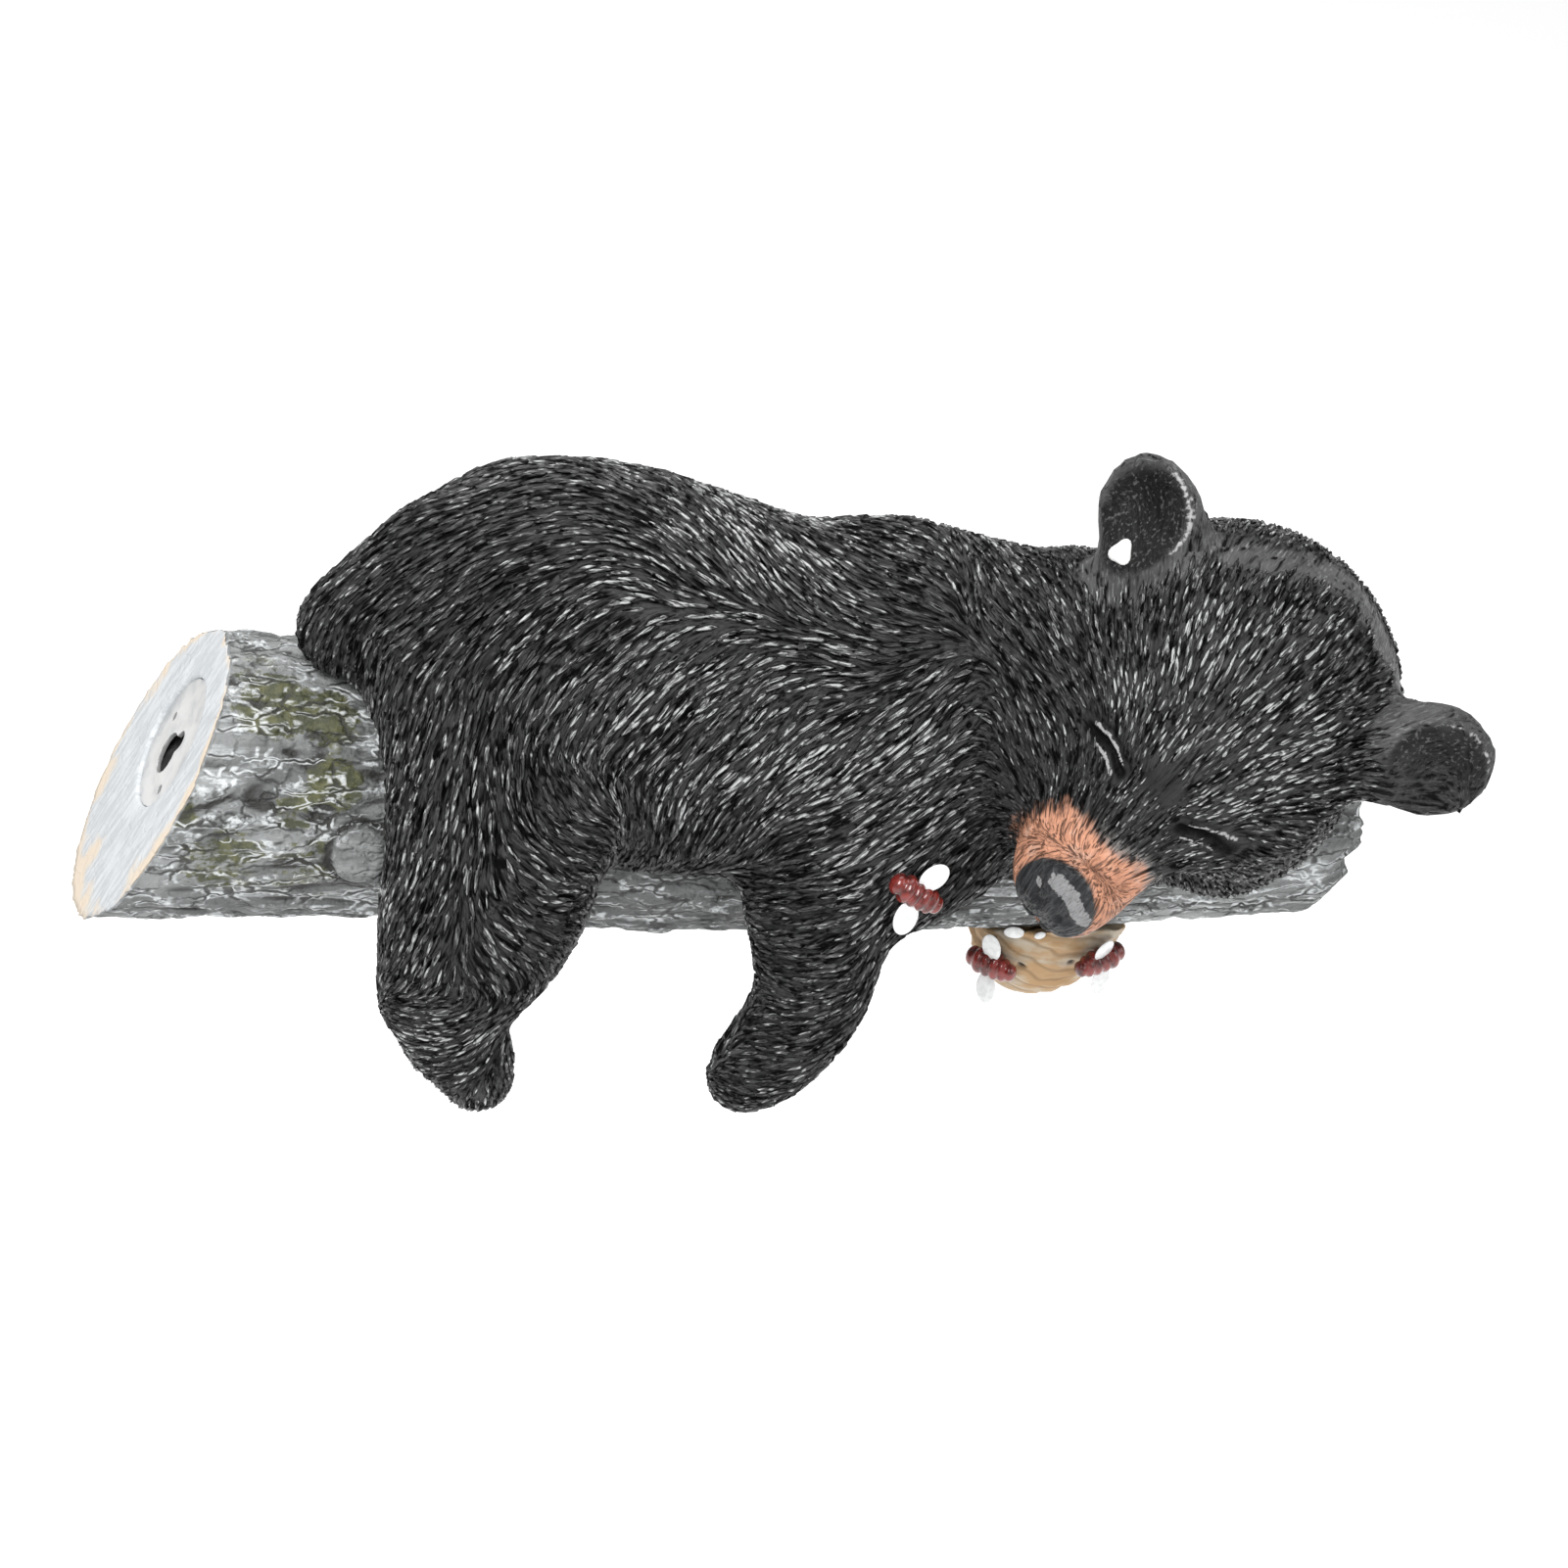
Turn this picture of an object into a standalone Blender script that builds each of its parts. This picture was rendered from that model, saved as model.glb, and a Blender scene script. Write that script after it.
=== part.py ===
"""A black bear cub asleep on a log, with a hive and bees: a cast-resin ornament that hangs by its sawn end.

X runs along the log, away from the sawn end. Z is up, and -Y faces the viewer. The origin is on the sawn
face, on the stretch below the hanger plate that rests against the trunk or wall. Lengths are in metres.
"""

import math

import bmesh
import bpy
import numpy as np
from mathutils import Matrix, Vector, noise

GAP = 0.0003

LOG_LENGTH = 0.263
LOG_GIRTH = ((0.00, 0.0303), (0.16, 0.0285), (0.40, 0.0315), (0.61, 0.0305), (0.78, 0.0285), (1.00, 0.0250))
BARK_DEPTH = 0.0018
FLAKE_LENGTH = 0.024
FLAKE_WIDTH = 0.0095
CRACK_SHARE = 0.28
LOWEST_FLAKE = 0.30
PROUDEST_FLAKE = 0.84
RIPPLE = 0.12
BARK_SEED = 4
BREAK_SHARE = 0.04
BREAK_WEAR = 0.16
BREAK_LEAN = 0.12
BREAK_RAGGED = 0.003
SAWN_LEAN = math.radians(26)

PLATE_DIAMETER = 0.029
PLATE_THICKNESS = 0.0010
PLATE_SINK = 0.0008
PLATE_RISE = 0.0092
KEYHOLE_DIAMETER = 0.0092
KEYHOLE_DROP = 0.0029
SLOT_WIDTH = 0.0042
SLOT_REACH = 0.0080
SLOT_SLANT = math.radians(25)
NAIL_HOLE_DIAMETER = 0.0022
NAIL_HOLE_SPACING = 0.0190
POCKET_DIAMETER = 0.0150
POCKET_DEPTH = 0.0085
MOUNT_BELOW_PLATE = 0.0210

BEAR_LENGTH = 0.262
HIVE_RADIUS = 0.0178
HIVE_HEIGHT = 0.0300
HIVE_TILT = math.radians(17)
HIVE_COILS = 5
COIL_DEPTH = 0.0009
HIVE_FULLNESS = 2.6
HIVE_ALONG = 0.202
HIVE_ASIDE = -0.003
HIVE_INSET = 0.0100
BEE_LENGTH = 0.0128

# A bee in shares of its length: head forward along X, wings to the sides along Y.
BEE_BODY = (
    ((0.36, 0, 0.0), (0.14, 0.17, 0.15)),
    ((0.12, 0, 0.0), (0.22, 0.23, 0.20)),
    ((-0.16, 0, 0.0), (0.24, 0.24, 0.21)),
    ((-0.33, 0, 0.0), (0.17, 0.19, 0.17)),
)
WING = ((0, 0.42, 0.03), (0.21, 0.30, 0.06))
WING_RISE = math.radians(10)
WING_SWEEP = math.radians(8)
# The bees: name, what it sits on, where, and the way its head points. The place is one of the bear's
# points, or in shares of the hive's radius and height from the middle of its top, along its own axes.
BEES = (
    ("bee_on_arm", "bear", (154, -50, 6.5), (-0.78, 0.46, 0.42)),
    ("bee_hive_left", "hive", (-0.55, -0.59, -0.64), (-0.88, 0.38, 0.25)),
    ("bee_hive_right", "hive", (0.40, -0.87, -0.26), (0.87, 0.10, 0.48)),
)

LOG_SIDES = 36
LOG_RINGS = 24
LOG_FACES = 1750
PLATE_SIDES = 32
HOLE_SIDES = 16
HIVE_STEPS = 20
HIVE_RINGS = 12
BEAR_FACES = 5800
BEE_FACES = 210
SKIN_GRAIN = 1.5
SKIN_SOFTENING = 13
BEE_GRAIN = 0.022
FACE_CARE = 0.00005

# The sawn face runs up along FACE_UP from the origin, and the log's axis starts at LOG_START on it.
FACE_UP = Vector((math.sin(SAWN_LEAN), 0, math.cos(SAWN_LEAN)))
FACE_OUT = Vector((-math.cos(SAWN_LEAN), 0, math.sin(SAWN_LEAN)))
LOG_START = FACE_UP * (MOUNT_BELOW_PLATE - PLATE_RISE)

# The bear is a free form. Its points are in shares of its length, 262 of them from tail to far ear,
# measured from LOG_START: X along the log, Y away from the viewer, Z up.
SHARE = BEAR_LENGTH / 262

# Round forms: points along each, with its radius there.
TRUNK = (
    (80, -5, 34, 40),
    (94, -5.5, 33, 42.5),
    (112, -6, 31, 43),
    (134, -6.5, 27.5, 41),
    (155, -7, 26, 39.7),
    (172, -9, 27.5, 37.7),
    (188, -14, 31, 34),
    (202, -22, 34, 33),
)
TAIL = ((64, -3, 44, 25), (50, -2, 41, 17), (40, -1, 37, 12))
NEAR_HIND_LEG = (
    (70, -21, 20, 26),
    (69, -34, 1, 22.5),
    (65, -40, -12, 19),
    (60, -44, -22.5, 14),
    (61.5, -45, -31, 11.7),
    (66.5, -45, -41, 9.2),
    (69.5, -44, -47, 7.2),
)
NEAR_FORELEG = (
    (144, -21, 20, 21),
    (139.5, -34, 6, 18.5),
    (138, -41, -6, 15.5),
    (138, -44, -15, 13.6),
    (137.5, -45, -23, 12.2),
    (134, -46, -31.5, 11.3),
    (129.5, -46, -39, 10.4),
    (126.5, -45, -44.5, 8.8),
)
FAR_HIND_LEG = (
    (72, 17, 24, 26),
    (71, 32, 6, 22.5),
    (67, 39, -8, 18.5),
    (62, 42, -19, 14.5),
    (62, 43, -28, 12),
    (66, 43, -37, 9.5),
    (69, 42, -42, 7.5),
)
FAR_FORELEG = (
    (148, 16, 24, 21),
    (145, 31, 6, 18),
    (143, 39, -6, 15),
    (142, 41, -17, 12.6),
    (138, 42, -27, 11.5),
    (131, 42, -35, 10.6),
    (127.5, 41, -39.5, 9),
)
# The fold of the chest that runs up from each elbow.
NEAR_CHEST = (
    (149, -35.5, 2.5, 16),
    (154, -33, 6.5, 18),
    (159, -28.5, 10, 20),
    (168, -25, 18, 21),
    (182, -22, 26, 21),
)
FAR_CHEST = (
    (151, 31, 5, 15),
    (158, 28, 9, 17),
    (166, 21, 14, 20),
    (180, 10, 24, 22),
)
LIMBS = (TRUNK, NEAR_CHEST, FAR_CHEST, TAIL, NEAR_HIND_LEG, NEAR_FORELEG, FAR_HIND_LEG, FAR_FORELEG)
# Ellipsoids: centre, then radii along X, Y and Z.
RUMP = ((86, -4, 40), (45, 39, 35))

# The head has a frame of its own: forward, left and up from its centre.
HEAD_CENTRE = (218.5, -32, 38)
HEAD_AZIMUTH = math.radians(-131.4)
HEAD_DIP = math.radians(-10.7)
HEAD_TILT = math.radians(-27.9)
SKULL = ((-3, -3, 2), (39, 37.5, 39.5))
CHEEK = ((4, 19, -8), (27, 20, 23))
MUZZLE = ((18, 0, -5, 27), (30, 0, -9, 20.5), (39, 0, -11.5, 16.8), (44.5, 0, -12.5, 15))
JAW = ((12, 0, -20, 18), (30, 0, -20, 13), (42, 0, -20.5, 9))
BRIDGE = ((20, 0, 14, 18), (31, 0, 4, 13), (40, 0, -4, 9.5), (46, 0, -7, 8))
NOSE = ((51.5, 0, -9.5), (6.4, 8.8, 6.6))
NEAR_EAR = (-6.2, -38.5, 24.5)
FAR_EAR = (-8.5, 36.5, 26.5)
EAR_RADII = (6.5, 14, 14)
EAR_ROOT = ((0, -5, -3), (9, 13, 12.5))
HEAD_REACH = 54
BARE_FACE = 36
LOCK_WIDTH = 9
LOCK_LENGTH = 26
LOCK_SLANT = 0.75
LOCK_DEPTH = 1.2
HEAD_LOCK_DEPTH = 0.8
EAR_SPLAY = math.radians(28)
EAR_LIFT = math.radians(18)
EAR_CUP = ((6, 1, 1), 12, (-8, 0, 0))
# Pushes on each side of the face: centre, radius and push. The first sinks the eye's corner by the
# bridge, the second swells the lid and the third the brow.
FACE_PUSHES = (
    ((39, 8.5, 7), 8, (-1.8, 0.6, -0.4)),
    ((34, 15.5, 12), 7, (1.8, 0.4, 0.5)),
    ((30, 13, 23), 12, (1.2, 0, 1.0)),
)
# Grooves: the points along each, then its half width and depth.
CLOSED_EYE = (((37.5, 9.5, 9.0), (37, 14.5, 9.2), (33.5, 20, 11.0)), 2.2, 0.9)
LIP_CLEFT = (((58, 0, -15), (56, 0, -19), (52, 0, -23)), 2.5, 1.5)
MOUTH = (((56, 0, -20), (51, 9, -20), (40, 17, -15)), 2.5, 1.3)
NECK_CREASE = (((150, -11, 67), (163, -15, 66), (174, -20, 65), (186, -22, 66)), 5, 1.0)
TOE_CLEFT_HALF_WIDTH = 2
TOE_CLEFT_DEPTH = 1.1
TOE_CLEFTS = (-0.45, 0.1, 0.65)


def clear_scene():
    for old in list(bpy.data.objects):
        bpy.data.objects.remove(old, do_unlink=True)


def collection(name):
    made = bpy.data.collections.new(name)
    bpy.context.scene.collection.children.link(made)
    return made


def material(name, colour, roughness, metallic=0.0):
    made = bpy.data.materials.new(name)
    made.use_nodes = True
    shader = made.node_tree.nodes["Principled BSDF"]
    shader.inputs["Base Color"].default_value = (*colour, 1)
    shader.inputs["Roughness"].default_value = roughness
    shader.inputs["Metallic"].default_value = metallic
    return made


def add_object(name, bm, group, finish=None):
    """An object of this mesh, in the group, smooth-shaded."""
    mesh = bpy.data.meshes.new(name)
    bm.to_mesh(mesh)
    bm.free()
    mesh.shade_smooth()
    if finish:
        mesh.materials.append(finish)
    made = bpy.data.objects.new(name, mesh)
    group.objects.link(made)
    return made


def as_cutter(made):
    made.hide_render = True
    made.display_type = "WIRE"
    return made


def cut(piece, cutter):
    boolean = piece.modifiers.new("Cut by " + cutter.name, "BOOLEAN")
    boolean.operation = "DIFFERENCE"
    boolean.object = cutter
    return boolean


def apply_modifiers(piece):
    """Makes the piece's modifiers part of its mesh."""
    graph = bpy.context.evaluated_depsgraph_get()
    finished = bpy.data.meshes.new_from_object(piece.evaluated_get(graph))
    old = piece.data
    piece.modifiers.clear()
    piece.data = finished
    bpy.data.meshes.remove(old)


def add_ball(bm, place, centre, radii):
    """An ellipsoid at the centre, in the frame of the place, with its radii along that frame's axes."""
    matrix = place @ Matrix.Translation(centre) @ Matrix.Diagonal((*radii, 1))
    bmesh.ops.create_icosphere(bm, subdivisions=4, radius=1, matrix=matrix)


def add_limb(bm, place, stations):
    """A round limb through the stations, as close-set balls on a smooth curve."""
    keys = np.array(stations, float)
    spans = np.linalg.norm(np.diff(keys[:, :3], axis=0), axis=1)
    before = np.vstack((2 * keys[0] - keys[1], keys[:-1]))
    after = np.vstack((keys[1:], 2 * keys[-1] - keys[-2]))
    slopes = (after - before) / 2
    for first in range(len(keys) - 1):
        steps = max(2, math.ceil(spans[first] / 2))
        for step in range(steps + 1):
            t = step / steps
            ends = (2 * t**3 - 3 * t**2 + 1) * keys[first] + (3 * t**2 - 2 * t**3) * keys[first + 1]
            bend = (t**3 - 2 * t**2 + t) * slopes[first] + (t**3 - t**2) * slopes[first + 1]
            x, y, z, radius = ends + bend
            middle = place @ Matrix.Translation((x, y, z))
            bmesh.ops.create_icosphere(bm, subdivisions=3, radius=radius, matrix=middle)


def merge_clay(piece, voxel, rounds):
    """Makes one skin of the overlapping forms, and smooths the creases between them."""
    remesh = piece.modifiers.new("One skin", "REMESH")
    remesh.mode = "VOXEL"
    remesh.voxel_size = voxel
    apply_modifiers(piece)
    soften(piece, rounds)


def soften(piece, rounds):
    smooth = piece.modifiers.new("Soft creases", "SMOOTH")
    smooth.factor = 0.5
    smooth.iterations = rounds
    apply_modifiers(piece)


def thin_out(piece, faces):
    """Brings the skin down to about this many triangles, fewest where it is flattest."""
    decimate = piece.modifiers.new("Fewer faces", "DECIMATE")
    decimate.use_collapse_triangulate = True
    decimate.ratio = faces / sum(len(face.vertices) - 2 for face in piece.data.polygons)
    if piece.vertex_groups:
        decimate.vertex_group = piece.vertex_groups[0].name
        decimate.vertex_group_factor = FACE_CARE
    apply_modifiers(piece)


class Clay:
    """The points of a fine skin, to be pushed about as a sculptor does."""

    def __init__(self, mesh):
        self.mesh = mesh
        self.points = np.empty(len(mesh.vertices) * 3)
        mesh.vertices.foreach_get("co", self.points)
        self.points = self.points.reshape(-1, 3)
        self.normals = np.empty(len(mesh.vertices) * 3)
        mesh.vertices.foreach_get("normal", self.normals)
        self.normals = self.normals.reshape(-1, 3)

    def away(self, corners):
        """Each point's distance from the line through these corners."""
        nearest = np.full(len(self.points), np.inf)
        for start, end in zip(corners[:-1], corners[1:]):
            start = np.array(start)
            run = np.array(end) - start
            along = np.clip((self.points - start) @ run / (run @ run), 0, 1)
            off = np.linalg.norm(self.points - start - along[:, None] * run, axis=1)
            nearest = np.minimum(nearest, off)
        return nearest

    def groove(self, place, line, half_width, depth):
        """A smooth-sided groove along a line in the place's frame, or a ridge where the depth is negative."""
        corners = [place @ Vector(point) for point in line]
        share = np.clip(1 - (self.away(corners) / (half_width * SHARE)) ** 2, 0, 1) ** 2
        self.points -= self.normals * (depth * SHARE * share)[:, None]

    def press(self, place, centre, radius, push):
        """Pushes what lies within the radius of the centre along the push, most in the middle."""
        off = np.linalg.norm(self.points - np.array(place @ Vector(centre)), axis=1)
        share = np.clip(1 - (off / (radius * SHARE)) ** 2, 0, 1) ** 2
        self.points += np.array(place.to_3x3() @ Vector(push)) * share[:, None]

    def put_back(self):
        self.mesh.vertices.foreach_set("co", self.points.ravel())
        self.mesh.update()


def turned_frame(centre, azimuth, dip, tilt):
    """A frame at the centre whose X looks along the azimuth and dip, rolled about it by the tilt."""
    forward = Vector((math.cos(azimuth) * math.cos(dip), math.sin(azimuth) * math.cos(dip), math.sin(dip)))
    left = Vector((0, 0, 1)).cross(forward).normalized()
    left.rotate(Matrix.Rotation(tilt, 3, forward))
    up = forward.cross(left)
    frame = Matrix((forward, left, up)).transposed().to_4x4()
    frame.translation = centre
    return frame


def log_radius(share):
    """The log's radius under the bark, at a share of its length."""
    shares, radii = zip(*LOG_GIRTH)
    return float(np.interp(share, shares, radii))


def log_barrel(rise, start, end, sides, rings):
    """A round barrel that stands this far off the log's radius, from start to end as shares of its length."""
    bm = bmesh.new()
    bmesh.ops.create_cone(bm, cap_ends=True, cap_tris=True, segments=sides, radius1=1, radius2=1, depth=1)
    long_edges = [edge for edge in bm.edges if abs(edge.verts[0].co.z - edge.verts[1].co.z) > 0.5]
    bmesh.ops.subdivide_edges(bm, edges=long_edges, cuts=rings - 1, use_grid_fill=True)
    for vert in bm.verts:
        share = start + (vert.co.z + 0.5) * (end - start)
        radius = (log_radius(share) + rise) * vert.co.xy.length
        angle = math.atan2(vert.co.y, vert.co.x)
        vert.co = LOG_START + Vector((share * LOG_LENGTH, radius * math.sin(angle), radius * math.cos(angle)))
    bmesh.ops.recalc_face_normals(bm, faces=bm.faces)
    return bm


def bark_height(point):
    """The bark's height over the log here, as a share of its depth: 0 in the cracks, most on the flakes."""
    where = Vector((point.x / FLAKE_LENGTH, point.y / FLAKE_WIDTH, point.z / FLAKE_WIDTH))
    where += noise.noise_vector(where * 0.6) * 0.7
    distances, flakes = noise.voronoi(where)
    crack = min(1, (distances[1] - distances[0]) / CRACK_SHARE)
    flake = 0.5 + 0.5 * noise.noise(flakes[0] * 7)
    height = LOWEST_FLAKE + (PROUDEST_FLAKE - LOWEST_FLAKE) * flake
    return max(0, crack * height + RIPPLE * noise.noise(where * 3))


def make_log(group, cutters, finish):
    """The cast log: flaky bark all round, a flat sawn end with the plate's seat, and a rough far end."""
    noise.seed_set(BARK_SEED)
    log = add_object("log", log_barrel(0, -0.1, 1, 3 * LOG_SIDES, 4 * LOG_RINGS), group, finish)
    for vert in log.data.vertices:
        past = (vert.co.x - LOG_START.x) / LOG_LENGTH
        out = vert.co - Vector((vert.co.x, LOG_START.y, LOG_START.z))
        if out.length > 0:
            vert.co += out.normalized() * BARK_DEPTH * bark_height(vert.co)
        # The far end is broken off: worn in at its rim, ragged, and longer above than below.
        if past > 1 - BREAK_SHARE:
            worn = (past - 1 + BREAK_SHARE) / BREAK_SHARE
            vert.co -= out * BREAK_WEAR * worn**2
            ragged = noise.noise(out / (2 * BREAK_RAGGED)) - 1
            vert.co.x += worn * (out.z * BREAK_LEAN + ragged * BREAK_RAGGED)
    thin_out(log, LOG_FACES)
    bm = bmesh.new()
    bm.from_mesh(log.data)
    whole = bm.verts[:] + bm.edges[:] + bm.faces[:]
    sawn = bmesh.ops.bisect_plane(bm, geom=whole, plane_co=LOG_START, plane_no=FACE_OUT, clear_outer=True)
    rim = [item for item in sawn["geom_cut"] if isinstance(item, bmesh.types.BMEdge)]
    bmesh.ops.edgeloop_fill(bm, edges=rim)
    bmesh.ops.recalc_face_normals(bm, faces=bm.faces)
    bm.to_mesh(log.data)
    bm.free()
    cut(log, plate_seat(cutters))
    cut(log, screw_pocket(cutters))
    return log


def on_face(up, across, out):
    """A frame on the sawn face: this far up it, across it towards +Y and out of it, with Z pointing out."""
    place = Matrix((FACE_UP, Vector((0, 1, 0)), FACE_OUT)).transposed().to_4x4()
    place.translation = FACE_UP * (MOUNT_BELOW_PLATE + up) + Vector((0, across, 0)) + FACE_OUT * out
    return place


def add_disc(bm, place, radius, thickness, sides):
    bmesh.ops.create_cone(
        bm, cap_ends=True, segments=sides, radius1=radius, radius2=radius, depth=thickness, matrix=place
    )


def plate_seat(cutters):
    depth = PLATE_SINK + PLATE_THICKNESS + GAP
    bm = bmesh.new()
    add_disc(bm, on_face(0, 0, 0), PLATE_DIAMETER / 2 + GAP, depth * 2, PLATE_SIDES)
    return as_cutter(add_object("plate seat", bm, cutters))


def screw_pocket(cutters):
    bm = bmesh.new()
    add_disc(bm, on_face(0, 0, 0), POCKET_DIAMETER / 2, POCKET_DEPTH * 2, HOLE_SIDES)
    return as_cutter(add_object("screw pocket", bm, cutters))


def make_plate(group, cutters, finish):
    """The hanger plate: a flat steel disc with a keyhole and two nail holes."""
    out = -PLATE_SINK - PLATE_THICKNESS / 2
    bm = bmesh.new()
    add_disc(bm, on_face(0, 0, out), PLATE_DIAMETER / 2, PLATE_THICKNESS, PLATE_SIDES)
    plate = add_object("keyhole_plate", bm, group, finish)
    plate.data.set_sharp_from_angle(angle=math.radians(40))

    # The keyhole's own frame: X runs up the slot from the middle of the round hole.
    keyhole = on_face(-KEYHOLE_DROP, 0, out) @ Matrix.Rotation(-SLOT_SLANT, 4, "Z")
    depth = PLATE_THICKNESS * 3
    slot_run = SLOT_REACH - SLOT_WIDTH / 2
    holes = [("keyhole", 0, 0, KEYHOLE_DIAMETER), ("slot end", slot_run, 0, SLOT_WIDTH)]
    for side in (-1, 1):
        holes.append(("nail hole", 0, side * NAIL_HOLE_SPACING / 2, NAIL_HOLE_DIAMETER))
    for name, up, across, diameter in holes:
        bm = bmesh.new()
        add_disc(bm, keyhole @ Matrix.Translation((up, across, 0)), diameter / 2, depth, HOLE_SIDES)
        cut(plate, as_cutter(add_object(name, bm, cutters)))
    bm = bmesh.new()
    slot = keyhole @ Matrix.Translation((slot_run / 2, 0, 0))
    bmesh.ops.create_cube(bm, size=1, matrix=slot @ Matrix.Diagonal((slot_run, SLOT_WIDTH, depth, 1)))
    cut(plate, as_cutter(add_object("slot", bm, cutters)))
    return plate


def body_frame():
    """The frame of the bear's points."""
    return Matrix.Translation(LOG_START) @ Matrix.Scale(SHARE, 4)


def make_bear(group, seat, finish):
    """The cub, one casting, pressed on to the log that it lies on."""
    body = body_frame()
    head = body @ turned_frame(HEAD_CENTRE, HEAD_AZIMUTH, HEAD_DIP, HEAD_TILT)
    bm = bmesh.new()
    for limb in LIMBS:
        add_limb(bm, body, limb)
    add_ball(bm, body, *RUMP)
    add_ball(bm, head, *SKULL)
    add_limb(bm, head, MUZZLE)
    add_limb(bm, head, BRIDGE)
    add_limb(bm, head, JAW)
    add_ball(bm, head, *NOSE)
    for side in (-1, 1):
        centre, radii = CHEEK
        add_ball(bm, head, (centre[0], centre[1] * side, centre[2]), radii)
        ear = ear_frame(head, side)
        add_ball(bm, ear, (0, 0, 0), EAR_RADII)
        centre, radii = EAR_ROOT
        add_ball(bm, ear, (centre[0], centre[1] * side, centre[2]), radii)
    bear = add_object("bear", bm, group, finish)
    merge_clay(bear, SKIN_GRAIN * SHARE, SKIN_SOFTENING)
    clay = Clay(bear.data)
    comb_fur(clay, body, head)
    carve_head(clay, head)
    carve_body(clay, body)
    clay.put_back()
    soften(bear, 2)
    keep_face(bear, head)
    thin_out(bear, BEAR_FACES)
    cut(bear, seat)
    return bear


def keep_face(bear, head):
    """Marks where the skin may be thinned out: less on the face than elsewhere."""
    marked = bear.vertex_groups.new(name="thinned out")
    to_head = head.inverted()
    for vert in bear.data.vertices:
        forward, left, up = to_head @ vert.co
        on_face = forward > SKULL[1][0] / 2 and math.hypot(forward, left, up) < NOSE[0][0] * 1.25
        marked.add([vert.index], 0.5 if on_face else 1, "REPLACE")


def ear_frame(head, side):
    """The frame of an ear: X out of its cup, which is turned outwards and up."""
    centre = FAR_EAR if side > 0 else NEAR_EAR
    turn = Matrix.Rotation(side * EAR_SPLAY, 4, "Z") @ Matrix.Rotation(-EAR_LIFT, 4, "Y")
    return head @ Matrix.Translation(centre) @ turn


def mirrored(point, side):
    """A point of the head on this side: 1 is its left, as given, and -1 its right."""
    return (point[0], point[1] * side, point[2])


def carve_head(clay, head):
    """The ear cups, the closed eyes in their sockets, the brow and the mouth."""
    for side in (-1, 1):
        centre, radius, push = EAR_CUP
        clay.press(ear_frame(head, side), mirrored(centre, side), radius, push)
        for centre, radius, push in FACE_PUSHES:
            clay.press(head, mirrored(centre, side), radius, mirrored(push, side))
        for line, half_width, depth in (CLOSED_EYE, MOUTH):
            clay.groove(head, [mirrored(point, side) for point in line], half_width, depth)
    clay.groove(head, *LIP_CLEFT)


def carve_body(clay, body):
    """The crease that runs from the spine to the neck, and the clefts between the toes."""
    clay.groove(body, *NECK_CREASE)
    for leg in (NEAR_HIND_LEG, NEAR_FORELEG, FAR_HIND_LEG, FAR_FORELEG):
        tip, ankle = Vector(leg[-1][:3]), Vector(leg[-2][:3])
        reach = leg[-1][3]
        down = (tip - ankle).normalized() * reach
        fore = Vector((reach, 0, 0))
        for across in TOE_CLEFTS:
            toe = tip + down + Vector((0, across * reach, 0))
            clay.groove(body, (toe + fore, toe - fore), TOE_CLEFT_HALF_WIDTH, TOE_CLEFT_DEPTH)


def comb_fur(clay, body, head):
    """Broad locks: low furrows that slant down the flanks and legs, and run out from the muzzle."""
    to_body = np.array(body.inverted())
    to_head = np.array(head.inverted())
    on_body = clay.points @ to_body[:3, :3].T + to_body[:3, 3]
    on_head = clay.points @ to_head[:3, :3].T + to_head[:3, 3]
    for index, ((x, y, z), (forward, left, up)) in enumerate(zip(on_body, on_head)):
        lock = noise.noise(Vector(((x - LOCK_SLANT * z) / LOCK_WIDTH, y / LOCK_LENGTH, z / LOCK_LENGTH)))
        around = math.atan2(left, up) * SKULL[1][2]
        ray = noise.noise(Vector((around / LOCK_WIDTH, forward / LOCK_LENGTH, 0)))
        # The head's own locks fade in over its last 10 shares, and out on the bare face.
        share = min(1, max(0, (HEAD_REACH - math.hypot(forward, left, up)) / 10))
        furry = min(1, max(0, (BARE_FACE - forward) / 12))
        depth = (1 - share) * lock * LOCK_DEPTH + share * furry * ray * HEAD_LOCK_DEPTH
        clay.points[index] += clay.normals[index] * depth * SHARE


def hive_frame():
    """The frame of the hive, with its origin in the middle of the top."""
    underside = log_radius(HIVE_ALONG / LOG_LENGTH) + BARK_DEPTH
    top = LOG_START + Vector((HIVE_ALONG, HIVE_ASIDE, HIVE_INSET - underside))
    return Matrix.Translation(top) @ Matrix.Rotation(HIVE_TILT, 4, "Y")


def make_hive(group, seat, finish):
    """The hive: a squat turned pot of coiled layers, hung askew under the log with its top let into it."""
    profile = []
    for ring in range(HIVE_RINGS):
        share = ring / HIVE_RINGS
        coil = abs(math.sin(share * math.pi * HIVE_COILS))
        radius = HIVE_RADIUS * math.sqrt(1 - share**HIVE_FULLNESS) - COIL_DEPTH * (1 - coil)
        profile.append((radius, -share * HIVE_HEIGHT))
    bm = bmesh.new()
    verts = [bm.verts.new((0, 0, 0))]
    verts += [bm.verts.new((radius, 0, z)) for radius, z in profile]
    verts.append(bm.verts.new((0, 0, -HIVE_HEIGHT)))
    for first, second in zip(verts[:-1], verts[1:]):
        bm.edges.new((first, second))
    bmesh.ops.spin(
        bm, geom=bm.verts[:] + bm.edges[:], axis=(0, 0, 1), angle=math.tau, steps=HIVE_STEPS, use_merge=True
    )
    bmesh.ops.remove_doubles(bm, verts=bm.verts, dist=0.00005)
    bmesh.ops.recalc_face_normals(bm, faces=bm.faces)
    bm.transform(hive_frame())
    hive = add_object("hive", bm, group, finish)
    cut(hive, seat)
    return hive


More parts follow.
